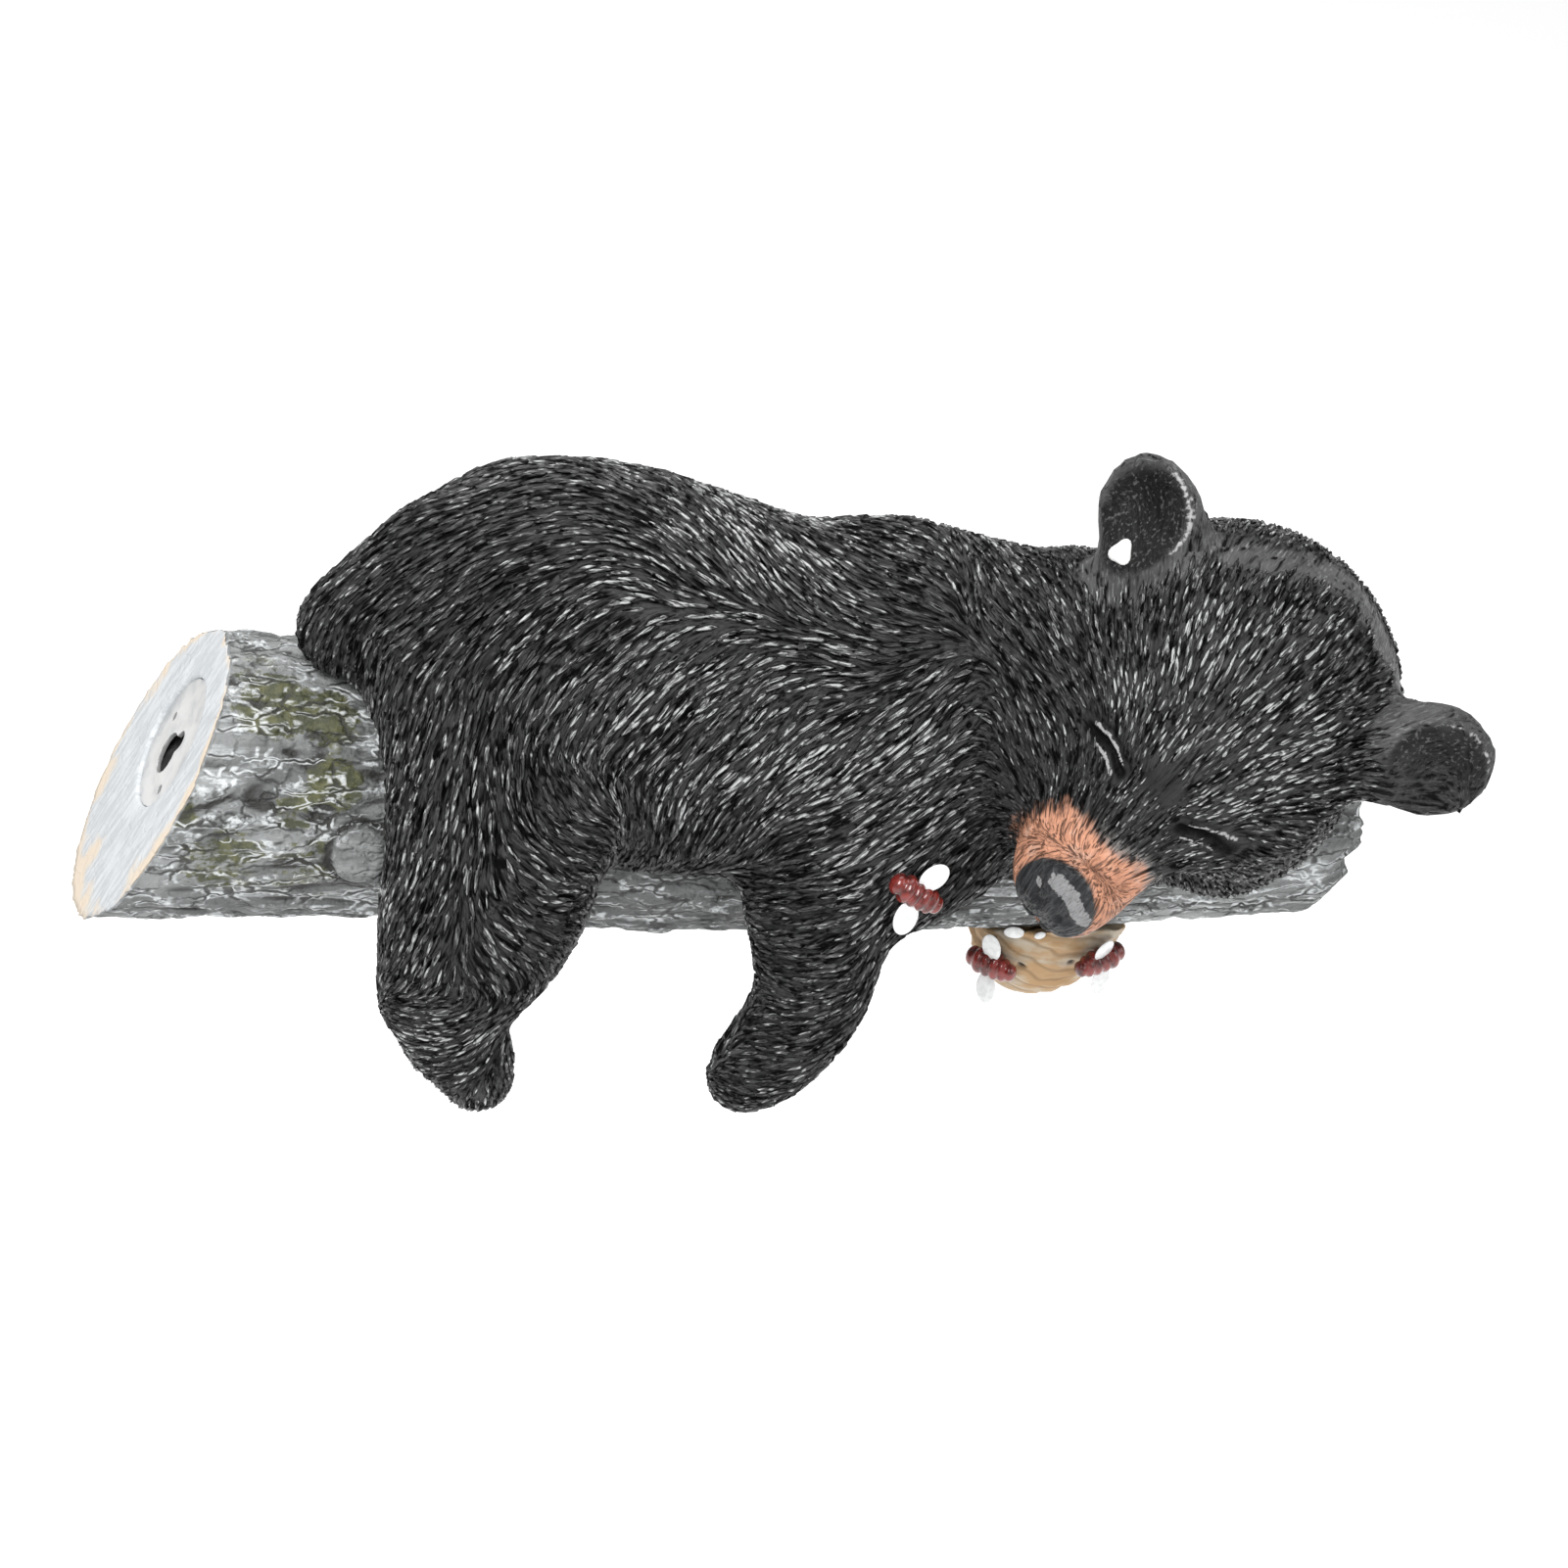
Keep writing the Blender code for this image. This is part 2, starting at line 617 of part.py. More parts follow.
def make_bee(bee, hosts, group, finish):
    """A bee set down on its host, near its place, with its head at its heading."""
    name, host, place, heading = bee
    host, own_frame = hosts[host]
    host = host.evaluated_get(bpy.context.evaluated_depsgraph_get())
    _, foot, normal, _ = host.closest_point_on_mesh(own_frame @ Vector(place))
    heading = Vector(heading)
    forward = (heading - normal * heading.dot(normal)).normalized()
    frame = Matrix((forward, normal.cross(forward), normal)).transposed().to_4x4()
    frame.translation = foot + normal * BEE_BODY[1][1][2] * BEE_LENGTH
    frame = frame @ Matrix.Scale(BEE_LENGTH, 4)
    bm = bmesh.new()
    for centre, radii in BEE_BODY:
        add_ball(bm, frame, centre, radii)
    for side in (-1, 1):
        turn = Matrix.Rotation(side * WING_SWEEP, 4, "Z") @ Matrix.Rotation(side * WING_RISE, 4, "X")
        centre, radii = WING
        add_ball(bm, frame @ turn, (centre[0], centre[1] * side, centre[2]), radii)
    bee = add_object(name, bm, group, finish)
    merge_clay(bee, BEE_GRAIN * BEE_LENGTH, 1)
    thin_out(bee, BEE_FACES)
    for _ in range(3):
        lift = 0
        for vert in bee.data.vertices:
            _, nearest, facing, _ = host.closest_point_on_mesh(vert.co)
            off = vert.co - nearest
            if off.length < BEE_BODY[1][1][2] * BEE_LENGTH:
                lift = max(lift, GAP - math.copysign(off.length, off.dot(facing)))
        bee.data.transform(Matrix.Translation(normal * lift))


def main():
    clear_scene()
    parts = collection("bear on a log")
    cutters = collection("cutters")
    fur = material("black fur", (0.03, 0.03, 0.03), 0.5)
    bark = material("bark", (0.25, 0.24, 0.22), 0.75)
    steel = material("steel", (0.6, 0.6, 0.58), 0.35, 1.0)
    straw = material("straw", (0.55, 0.4, 0.2), 0.6)
    amber = material("red-brown gloss", (0.30, 0.03, 0.02), 0.25)
    # The room for the log, past both its ends, that is cut out of what lies on it or hangs from it.
    room = log_barrel(BARK_DEPTH + GAP, -0.15, 1.1, LOG_SIDES, LOG_RINGS)
    seat = as_cutter(add_object("log seat", room, cutters))
    make_log(parts, cutters, bark)
    make_plate(parts, cutters, steel)
    bear = make_bear(parts, seat, fur)
    hive = make_hive(parts, seat, straw)
    hive_shares = hive_frame() @ Matrix.Diagonal((HIVE_RADIUS, HIVE_RADIUS, HIVE_HEIGHT, 1))
    hosts = {"bear": (bear, body_frame()), "hive": (hive, hive_shares)}
    for bee in BEES:
        make_bee(bee, hosts, parts, amber)


main()
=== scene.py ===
"""A black bear cub asleep on a log, with a hive and bees: the painted cast-resin ornament, dressed round its
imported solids. Lengths are in metres, and MM turns millimetres into them."""

import math

import bpy
import numpy as np
from mathutils import Matrix, Vector, noise
from mathutils.bvhtree import BVHTree


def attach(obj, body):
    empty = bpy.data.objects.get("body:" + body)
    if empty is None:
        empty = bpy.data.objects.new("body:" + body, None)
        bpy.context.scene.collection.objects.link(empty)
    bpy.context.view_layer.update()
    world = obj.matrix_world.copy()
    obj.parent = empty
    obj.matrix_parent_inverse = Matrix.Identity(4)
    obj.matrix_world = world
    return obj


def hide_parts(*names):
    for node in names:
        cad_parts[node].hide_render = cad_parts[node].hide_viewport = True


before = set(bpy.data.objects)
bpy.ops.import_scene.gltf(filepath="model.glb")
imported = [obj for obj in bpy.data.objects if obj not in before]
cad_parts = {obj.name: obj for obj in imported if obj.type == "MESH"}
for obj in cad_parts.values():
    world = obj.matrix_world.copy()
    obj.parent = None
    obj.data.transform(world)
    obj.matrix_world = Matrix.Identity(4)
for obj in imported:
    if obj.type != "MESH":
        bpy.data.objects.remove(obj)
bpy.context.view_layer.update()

# The camera stands a little to the left of the figure and above it, rolled clockwise, with a long lens.
CAMERA_AZIMUTH = math.radians(-14)
CAMERA_ELEVATION = math.radians(32)
CAMERA_ROLL = math.radians(8.6)
CAMERA_DISTANCE = 0.9
CAMERA_LENS = 96
AIM = Vector((0.1402, -0.005, 0.0142))


def axes_of(along, up):
    """The turn that takes X along the first way and Z along the second, which is square to it."""
    return Matrix((along, up.cross(along), up)).transposed()


level = Vector((math.cos(CAMERA_AZIMUTH), math.sin(CAMERA_AZIMUTH), 0))
backward = Vector(
    (
        math.sin(CAMERA_AZIMUTH) * math.cos(CAMERA_ELEVATION),
        -math.cos(CAMERA_AZIMUTH) * math.cos(CAMERA_ELEVATION),
        math.sin(CAMERA_ELEVATION),
    )
)
turned = axes_of(level, backward) @ Matrix.Rotation(CAMERA_ROLL, 3, "Z")
bpy.ops.object.camera_add(location=AIM + backward * CAMERA_DISTANCE, rotation=turned.to_euler())
camera = bpy.context.object
camera.data.lens = CAMERA_LENS
bpy.context.scene.camera = camera

# The studio: a pale floor well below the hanging figure, a white room, and soft lamps above and in front.
FLOOR_HEIGHT = -0.32
FLOOR_SIZE = 9
FLOOR_LOOK = {
    "Base Color": (0.9, 0.9, 0.9, 1),
    "Roughness": 0.8,
    "Emission Color": (1, 1, 1, 1),
    "Emission Strength": 0.28,
}
ROOM_STRENGTH = 0.62
LAMPS = (
    ("key", (-0.35, -0.75, 0.95), 0.5, 12),
    ("fill", (0.95, -0.55, 0.45), 0.7, 2.5),
    ("top", (0.15, 0.35, 1.0), 0.8, 6),
)

bpy.ops.mesh.primitive_grid_add(
    x_subdivisions=2, y_subdivisions=2, size=FLOOR_SIZE, location=(0, 0, FLOOR_HEIGHT)
)
floor = bpy.context.object
floor.name = "studio_floor"
pale = bpy.data.materials.new("pale floor")
pale.use_nodes = True
for name, value in FLOOR_LOOK.items():
    pale.node_tree.nodes["Principled BSDF"].inputs[name].default_value = value
floor.data.materials.append(pale)

room = bpy.data.worlds.new("white room")
room.use_nodes = True
room.node_tree.nodes["Background"].inputs["Color"].default_value = (1, 1, 1, 1)
room.node_tree.nodes["Background"].inputs["Strength"].default_value = ROOM_STRENGTH
bpy.context.scene.world = room
bpy.context.scene.view_settings.view_transform = "Standard"
for name, place, size, power in LAMPS:
    bpy.ops.object.light_add(type="AREA", location=place)
    lamp = bpy.context.object
    lamp.name = name
    lamp.data.size = size
    lamp.data.energy = power
    lamp.rotation_euler = (Vector(place) - AIM).to_track_quat("Z", "Y").to_euler()

# The log. One hollow casting in resin of a rough-barked branch, sawn at a slant where it meets the trunk
# and broken off at the far end, painted grey with moss and dry-brushed in white.
MM = 0.001
LOG_LENGTH = 0.263
LOG_GIRTH = ((0.00, 0.0303), (0.16, 0.0285), (0.40, 0.0315), (0.61, 0.0305), (0.78, 0.0285), (1.00, 0.0250))
SAWN_LEAN = math.radians(26)
FACE_UP = Vector((math.sin(SAWN_LEAN), 0, math.cos(SAWN_LEAN)))
FACE_OUT = Vector((-math.cos(SAWN_LEAN), 0, math.sin(SAWN_LEAN)))
AXIS_RISE = 0.0118
LOG_START = FACE_UP * AXIS_RISE
LOG_SIDES = 240
BARK_STATIONS = 300
# The relief, as in the solid: flakes of this size, this deep, with cracks between them.
BARK_DEPTH = 0.0018
FLAKE_LENGTH = 0.024
FLAKE_WIDTH = 0.0095
CRACK_SHARE = 0.28
LOWEST_FLAKE = 0.30
PROUDEST_FLAKE = 0.84
BARK_SEED = 4
# The finer relief that the solid leaves out: chips on the flakes, long ridges, and grain.
CHIP_DEPTH = 0.0009
CHIP_SHARE = 0.30
RIDGE_DEPTH = 0.0006
GRAIN_DEPTH = 0.00012
DEEPEST_CHIP = -0.0002
# The break: its share of the length, how far its rim is worn in, its lean, and how ragged it is.
BREAK_SHARE = 0.04
BREAK_WEAR = 0.16
BREAK_LEAN = 0.12
BREAK_RAGGED = 0.003
SPLINTER_SIZES = (0.0035, 0.0014)
SPLINTER_DEPTH = 0.0014
BREAK_DISH = 0.0012
BREAK_RINGS = 14
# The seat of the hanger plate in the sawn face, and the pocket behind it for the screw's head.
SEAT_RISE = 0.0092
SEAT_RADIUS = 0.0148
SEAT_DEPTH = 0.0021
POCKET_RADIUS = 0.0075
POCKET_DEPTH = 0.0085
RIM_ROUND = 0.0006
FACE_RINGS = 16
# Moss painted on the bark: places in millimetres from the log's start, with a radius and how thick it is.
MOSS_PATCHES = (
    ((24, -14, 26), 11, 1.0), ((35, -16, 24), 9, 0.9), ((36, -24, 14), 9, 0.95), ((28, -27, 9), 7, 0.6),
    ((4, -27, 10), 7, 0.9), ((14, -30, -2), 13, 0.55), ((32, -30, -4), 13, 0.5), ((20, -6, 30), 9, 0.5),
    ((60, 20, 22), 16, 0.7), ((120, 28, 8), 20, 0.5), ((30, 26, -8), 16, 0.7), ((210, 24, 4), 16, 0.4),
)
# The flat stub of a branch on the near side, and hollows where bark has fallen off: places in millimetres
# from the log's start, radii, and how far the bark stands up or sinks there.
STUB = ((42.0, -29.5, -0.4), (6.0, 8, 7.0), 0.0021)
STUB_EDGE = (1.0, 0.86)
STUB_MOAT = 0.0007
HOLLOWS = (((30, -21, 21), 6.5, 0.0011), ((21, -27, 12), 4.5, 0.0007), ((34, -27, 8), 4.0, 0.0009))


def deselect():
    """Leaves nothing selected, for the operators that act on all that is."""
    if bpy.context.object and bpy.context.object.mode != "OBJECT":
        bpy.ops.object.mode_set(mode="OBJECT")
    bpy.ops.object.select_all(action="DESELECT")


def edit_all(*steps):
    """Runs edit-mode operators, each with its settings, on the whole of the active piece."""
    bpy.ops.object.mode_set(mode="EDIT")
    bpy.ops.mesh.select_all(action="SELECT")
    for operator, settings in steps:
        operator(**settings)
    bpy.ops.object.mode_set(mode="OBJECT")


def points_of(mesh, kind="co"):
    """The places of the mesh's points, or their normals."""
    points = np.empty(len(mesh.vertices) * 3)
    mesh.vertices.foreach_get(kind, points)
    return points.reshape(-1, 3)


def move_points(mesh, points):
    mesh.vertices.foreach_set("co", np.asarray(points, np.float32).ravel())
    mesh.update()


def lengths_of(rows):
    return np.linalg.norm(rows, axis=1)


def from_start(points):
    """The points in millimetres from the log's start."""
    return (points - np.array(LOG_START)) / MM


def paint_mask(mesh, name, values):
    """Keeps a value for each point of the mesh, for its paint."""
    mask = mesh.attributes.new(name, "FLOAT", "POINT")
    mask.data.foreach_set("value", np.asarray(values, np.float32))


def ease(values, low, high):
    """0 at the low value, 1 at the high one, and smooth between them."""
    share = np.clip((np.asarray(values) - low) / (high - low), 0, 1)
    return share * share * (3 - 2 * share)


def log_radius(share):
    shares, radii = zip(*LOG_GIRTH)
    return np.interp(share, shares, radii)


def bark_height(point):
    """How far the bark stands off the log's girth here, in metres."""
    where = Vector((point[0] / FLAKE_LENGTH, point[1] / FLAKE_WIDTH, point[2] / FLAKE_WIDTH))
    where += noise.noise_vector(where * 0.6) * 0.7
    distances, flakes = noise.voronoi(where)
    crack = min(1, (distances[1] - distances[0]) / CRACK_SHARE)
    flake = 0.5 + 0.5 * noise.noise(flakes[0] * 7)
    plate = crack * (LOWEST_FLAKE + (PROUDEST_FLAKE - LOWEST_FLAKE) * flake)
    chips, homes = noise.voronoi(where * 2.6 + noise.noise_vector(where * 2.2) * 0.5)
    chip = min(1, (chips[1] - chips[0]) / CHIP_SHARE)
    tilt = noise.noise(homes[0] * 5) - 0.5 + (where * 2.6 - homes[0]).z * 0.5
    ridge = 1 - abs(noise.noise(Vector((where.x * 1.2, where.y * 5, where.z * 5)))) * 2
    grain = noise.noise(where * 14) + 0.5 * noise.noise(where * 31)
    fine = CHIP_DEPTH * (chip * (0.7 + tilt) - 0.6) + RIDGE_DEPTH * (ridge - 0.8) + GRAIN_DEPTH * grain
    return min(BARK_DEPTH, max(DEEPEST_CHIP, BARK_DEPTH * plate + fine))


def sawn_ring(radius, depth):
    """A ring about the middle of the plate's seat, this deep behind the sawn face."""
    middle = FACE_UP * (AXIS_RISE + SEAT_RISE) - FACE_OUT * depth
    across = np.outer(np.sin(angles), (0, 1, 0)) + np.outer(np.cos(angles), FACE_UP)
    return np.array(middle) + across * radius


# The rings of the pocket and the seat: radius, and depth behind the sawn face.
SEAT_RINGS = (
    (0, POCKET_DEPTH),
    (POCKET_RADIUS * 0.5, POCKET_DEPTH),
    (POCKET_RADIUS - RIM_ROUND, POCKET_DEPTH),
    (POCKET_RADIUS, POCKET_DEPTH - RIM_ROUND),
    (POCKET_RADIUS, SEAT_DEPTH),
    (SEAT_RADIUS - RIM_ROUND / 3, SEAT_DEPTH),
    (SEAT_RADIUS, SEAT_DEPTH - RIM_ROUND / 3),
    (SEAT_RADIUS, RIM_ROUND / 2),
    (SEAT_RADIUS + RIM_ROUND / 2, 0),
)
POCKET_RINGS = 5

noise.seed_set(BARK_SEED)
deselect()
first_bark = len(SEAT_RINGS) + FACE_RINGS
stations = first_bark + BARK_STATIONS + BREAK_RINGS + 1
bpy.ops.mesh.primitive_grid_add(x_subdivisions=LOG_SIDES, y_subdivisions=stations - 1, size=2)
log = bpy.context.object
log.name = "log_casting"
sheet = points_of(log.data)
column = np.rint((sheet[:, 0] + 1) / 2 * LOG_SIDES).astype(int)
station = np.rint((sheet[:, 1] + 1) / 2 * (stations - 1)).astype(int)
angles = np.arange(LOG_SIDES + 1) / LOG_SIDES * math.tau
# Every station of the casting in turn: the pocket, the seat, the sawn face, the bark and the broken end.
rings = [sawn_ring(radius, depth) for radius, depth in SEAT_RINGS]


def bark_ring(share):
    """A ring of bark at this share of the log's length past the sawn face, which its first rings follow."""
    radius = log_radius(share)
    out = np.outer(np.sin(angles), (0, 1, 0)) + np.outer(np.cos(angles), (0, 0, 1))
    start = out[:, 2] * radius * math.tan(SAWN_LEAN)
    along = start * (1 - share) ** 3 + share * LOG_LENGTH
    centre = np.array(LOG_START) + np.outer(along, (1, 0, 0))
    on_girth = centre + out * radius
    height = np.array([bark_height(point) for point in on_girth])
    here = from_start(on_girth)
    for place, reach, depth in HOLLOWS:
        height -= depth * ease(lengths_of(here - place), reach, reach * 0.5)
    place, radii, rise = STUB
    off_stub = lengths_of((here - place) / radii)
    on_stub = ease(off_stub, *STUB_EDGE)
    height = height * (1 - on_stub) + rise * on_stub - STUB_MOAT * ease(np.abs(off_stub - 1.06), 0.10, 0.02)
    return centre + out * (radius + height)[:, None], height


bark = [bark_ring(share) for share in np.linspace(0, 1, BARK_STATIONS)]
bark_points = np.array([points for points, _ in bark])
heights = np.array([height for _, height in bark])
rim = bark_points[0]
# The sawn rim lies in the sawn plane, whatever the bark's height.
rim_out = (rim - np.array(LOG_START)) @ np.array(FACE_OUT)
bark_points[0] = rim - np.outer(rim_out / FACE_OUT.x, (1, 0, 0))
inner = rings[-1]
for ring in range(1, FACE_RINGS + 1):
    share = ring / (FACE_RINGS + 1)
    rings.append(inner + (bark_points[0] - inner) * share)
# The far end is broken: worn in at its rim, ragged, and longer above than below.
past = np.linspace(0, 1, BARK_STATIONS)
worn = np.clip((past - 1 + BREAK_SHARE) / BREAK_SHARE, 0, 1)
for station_index in np.nonzero(worn > 0)[0]:
    ring = bark_points[station_index]
    out = (ring - np.array(LOG_START)) * (0, 1, 1)
    ragged = np.array([noise.noise(Vector(point) / (2 * BREAK_RAGGED)) - 1 for point in out])
    fade = worn[station_index]
    ring -= out * BREAK_WEAR * fade**2
    ring[:, 0] += fade * (out[:, 2] * BREAK_LEAN + ragged * BREAK_RAGGED)
rings += list(bark_points)
last = bark_points[-1]
end_middle = last.mean(0)
for ring in range(1, BREAK_RINGS + 1):
    share = 1 - ring / (BREAK_RINGS + 0.5)
    flat = end_middle + (last - end_middle) * share
    coarse, small = (
        np.array([noise.noise(Vector(point) / size) for point in flat]) for size in SPLINTER_SIZES
    )
    flat[:, 0] += (coarse + 0.5 * small) * SPLINTER_DEPTH - BREAK_DISH * (1 - share)
    rings.append(flat)
rings.append(np.repeat(rings[-1].mean(0)[None], LOG_SIDES + 1, 0))
rings = np.array(rings)
rings[:, -1] = rings[:, 0]
moved = rings[station, column]
move_points(log.data, moved)

# How proud or sunk each point of the bark is beside its neighbours, for the worn edges and the cracks.
EVENING_PASSES = 6
PROUDEST = 0.0003
relief = heights.copy()
for _ in range(EVENING_PASSES):
    padded = np.pad(relief, ((1, 1), (0, 0)), "edge")
    across = np.roll(relief, 2, 1) + np.roll(relief, -2, 1)
    relief = (padded[:-2] + padded[2:] + across + relief) / 5
proud, sawn, pocket, rim_share = (np.zeros((stations, LOG_SIDES + 1)) for _ in range(4))
proud[first_bark : first_bark + BARK_STATIONS] = (heights - relief) / PROUDEST
sawn[: first_bark + 1] = 1
pocket[:POCKET_RINGS] = 1
rim_share[first_bark - FACE_RINGS : first_bark + 1] = np.linspace(0, 1, FACE_RINGS + 1)[:, None]
mossy = np.zeros(len(moved))
on_log = from_start(moved)
for place, radius, strength in MOSS_PATCHES:
    mossy = np.maximum(mossy, strength * ease(lengths_of(on_log - place), radius, radius * 0.4))
for name, values in (("proud", proud), ("sawn", sawn), ("pocket", pocket), ("rim", rim_share)):
    paint_mask(log.data, name, values[station, column])
stub_off = lengths_of((on_log - STUB[0]) / STUB[1])
paint_mask(log.data, "moss", mossy * ease(stub_off, 0.8, 1.1))
paint_mask(log.data, "stub", ease(stub_off, *STUB_EDGE))

# A map of its own for the paint: the bark unrolled, and the two ends beside each other below it.
END_SPAN = 0.075
END_SHARE = 0.27
FAR_END_LEFT = 0.3


def new_map(mesh):
    """The mesh's own map for its paint, in place of any other."""
    while mesh.uv_layers:
        mesh.uv_layers.remove(mesh.uv_layers[0])
    return mesh.uv_layers.new(name="OFBake")


def end_map(up, left):
    """The places of an end's points in the map, as seen from straight before it."""
    return np.stack((moved[:, 1] / END_SPAN + 0.5, up / END_SPAN + 0.5), 1) * END_SHARE + (left, 0)


corner_points = np.empty(len(log.data.loops), np.int32)
log.data.loops.foreach_get("vertex_index", corner_points)
corner_station = station[corner_points].reshape(-1, 4)
near_map = end_map(moved @ np.array(FACE_UP) - AXIS_RISE, 0)
far_map = end_map(moved[:, 2] - LOG_START.z, FAR_END_LEFT)
unrolled_up = 0.28 + (station - first_bark) / BARK_STATIONS * 0.70
flat_map = np.stack((column / LOG_SIDES * 0.96 + 0.02, unrolled_up), 1)
on_face = (corner_station.min(1) < first_bark).repeat(4)[:, None]
on_break = (corner_station.max(1) >= first_bark + BARK_STATIONS).repeat(4)[:, None]
chosen = np.where(on_face, near_map[corner_points], flat_map[corner_points])
chosen = np.where(on_break, far_map[corner_points], chosen)
new_map(log.data).data.foreach_set("uv", chosen.astype(np.float32).ravel())
MERGED = {"threshold": 0.00001}
edit_all((bpy.ops.mesh.remove_doubles, MERGED), (bpy.ops.mesh.normals_make_consistent, {"inside": False}))
log.data.shade_smooth()


def new_paint(name, roughness):
    """A material with its shader and its object coordinates."""
    made = bpy.data.materials.new(name)
    made.use_nodes = True
    shader = made.node_tree.nodes["Principled BSDF"]
    shader.inputs["Roughness"].default_value = roughness
    places = made.node_tree.nodes.new("ShaderNodeTexCoord").outputs["Object"]
    return made, shader, places


def is_socket(value):
    return isinstance(value, bpy.types.NodeSocket)


def add_node(kind, inputs, **settings):
    """A node with these settings, joined to the sockets among its inputs, the other inputs being values."""
    tree = next(value for value in inputs.values() if is_socket(value)).id_data
    made = tree.nodes.new(kind)
    for name, value in settings.items():
        setattr(made, name, value)
    for name, value in inputs.items():
        if is_socket(value):
            tree.links.new(value, made.inputs[name])
        else:
            made.inputs[name].default_value = value
    return made


def mask_of(shader, name, kind="Fac"):
    """What the mesh's mask of this name says, for the shader's paint."""
    mask = shader.id_data.nodes.new("ShaderNodeAttribute")
    mask.attribute_name = name
    return mask.outputs[kind]


def noise_of(places, size, detail=3, stretch=(1, 1, 1), rough=0.55):
    """A cloudy pattern of this size in metres, from 0 to 1, drawn out along the axes by the stretch."""
    scale = tuple(1 / (size * part) for part in stretch)
    scaled = add_node("ShaderNodeMapping", {"Vector": places, "Scale": scale})
    inputs = {"Vector": scaled.outputs["Vector"], "Scale": 1.0, "Detail": detail, "Roughness": rough}
    return add_node("ShaderNodeTexNoise", inputs).outputs["Fac"]


def between(value, low, high):
    """0 below the low value, 1 above the high one, and smooth between them."""
    inputs = {"Value": value, "From Min": low, "From Max": high}
    return add_node("ShaderNodeMapRange", inputs, interpolation_type="SMOOTHSTEP").outputs["Result"]


def worked(operation, first, second):
    return add_node("ShaderNodeMath", {0: first, 1: second}, operation=operation).outputs[0]


def times(first, *others):
    for other in others:
        first = worked("MULTIPLY", first, other)
    return first


def plus(first, second):
    return worked("ADD", first, second)


def rest_of(share):
    return worked("SUBTRACT", 1.0, share)


def vector_maths(operation, first, second):
    inputs = {0: first, 3 if operation == "SCALE" else 1: second}
    made = add_node("ShaderNodeVectorMath", inputs, operation=operation)
    return made.outputs["Value" if operation == "DOT_PRODUCT" else "Vector"]


def mixed(share, below, above):
    """One colour over another, by a share."""
    below, above = (colour if is_socket(colour) else (*colour, 1) for colour in (below, above))
    return add_node("ShaderNodeMix", {0: share, 6: below, 7: above}, data_type="RGBA").outputs[2]


def toned(colour, strength):
    return tuple(part * strength for part in colour)


def lay_paint(shader, colour, relief, depth):
    """Gives the shader its colour, and its relief so many metres deep."""
    bump = add_node("ShaderNodeBump", {"Height": relief, "Distance": depth, "Strength": 1.0})
    colour.id_data.links.new(colour, shader.inputs["Base Color"])
    colour.id_data.links.new(bump.outputs["Normal"], shader.inputs["Normal"])


BARK_SHADOW = (0.030, 0.030, 0.028)
BARK_GREY = (0.125, 0.130, 0.130)
BARK_LIGHT = (0.285, 0.295, 0.295)
DRY_BRUSH = (0.78, 0.81, 0.82)
MOSS = (0.105, 0.107, 0.038)
MOSS_DARK = (0.040, 0.046, 0.014)
SAWN_PAINT = (0.50, 0.525, 0.545)
SAWN_STREAK = (0.63, 0.65, 0.665)
SAWN_CREAM = (0.70, 0.60, 0.48)
POCKET_SHADE = (0.015, 0.015, 0.015)

bark_paint, shader, places = new_paint("painted bark", 0.62)
clouds = noise_of(places, 0.016, 5, (2.2, 1, 1))
speckle = noise_of(places, 0.0016, 4)
streaks = noise_of(places, 0.003, 4, (5, 1, 1), 0.65)
proudness = mask_of(shader, "proud")
grey = mixed(between(clouds, 0.38, 0.66), BARK_GREY, BARK_LIGHT)
along = add_node("ShaderNodeSeparateXYZ", {"Vector": places}).outputs["X"]
# Painted shade: the bark under the cub, in the middle of the log, is painted darker.
shade_under_cub = times(between(along, 0.045, 0.085), 0.55, between(along, 0.225, 0.195))
grey = mixed(shade_under_cub, grey, toned(BARK_GREY, 0.45))
grey = mixed(times(between(streaks, 0.54, 0.70), 0.5), grey, DRY_BRUSH)
moss_edge = plus(plus(mask_of(shader, "moss"), times(streaks, 1.8)), times(speckle, 1.2))
moss = mixed(between(noise_of(places, 0.003, 4), 0.4, 0.65), MOSS_DARK, MOSS)
grey = mixed(times(between(moss_edge, 1.85, 2.15), 0.92), grey, moss)
grey = mixed(between(proudness, -0.25, -1.6), grey, BARK_SHADOW)
# Dark cracks round wandering flakes, each with a brushed lip beside it.
wander = add_node("ShaderNodeTexNoise", {"Vector": places, "Scale": 260.0, "Detail": 2.0}).outputs["Color"]
wandered = vector_maths("ADD", places, vector_maths("SCALE", wander, 0.0035))
crack_inputs = {"Vector": wandered, "Scale": (1 / 0.013, 1 / 0.0042, 1 / 0.0042)}
crack_places = add_node("ShaderNodeMapping", crack_inputs).outputs["Vector"]
chipped = add_node("ShaderNodeTexVoronoi", {"Vector": crack_places, "Scale": 1.0}, feature="DISTANCE_TO_EDGE")
chip_edge = chipped.outputs["Distance"]
chip_seen = between(noise_of(places, 0.008, 3), 0.40, 0.52)
grey = mixed(times(between(chip_edge, 0.055, 0.015), chip_seen, 0.85), grey, BARK_SHADOW)
lip_line = times(between(chip_edge, 0.15, 0.09), between(chip_edge, 0.04, 0.07), between(streaks, 0.46, 0.58))
brushed = times(between(proudness, 0.6, 1.8), between(speckle, 0.44, 0.62))
brushed = worked("MAXIMUM", brushed, times(lip_line, 0.9))
grey = mixed(times(brushed, 0.8), grey, DRY_BRUSH)
stub_grey = mixed(between(streaks, 0.40, 0.62), toned(BARK_LIGHT, 0.6), BARK_LIGHT)
grey = mixed(mask_of(shader, "stub"), grey, stub_grey)
lines = noise_of(places, 0.0012, 4, (5, 1.3, 9), 0.7)
face = mixed(between(lines, 0.42, 0.60), SAWN_PAINT, SAWN_STREAK)
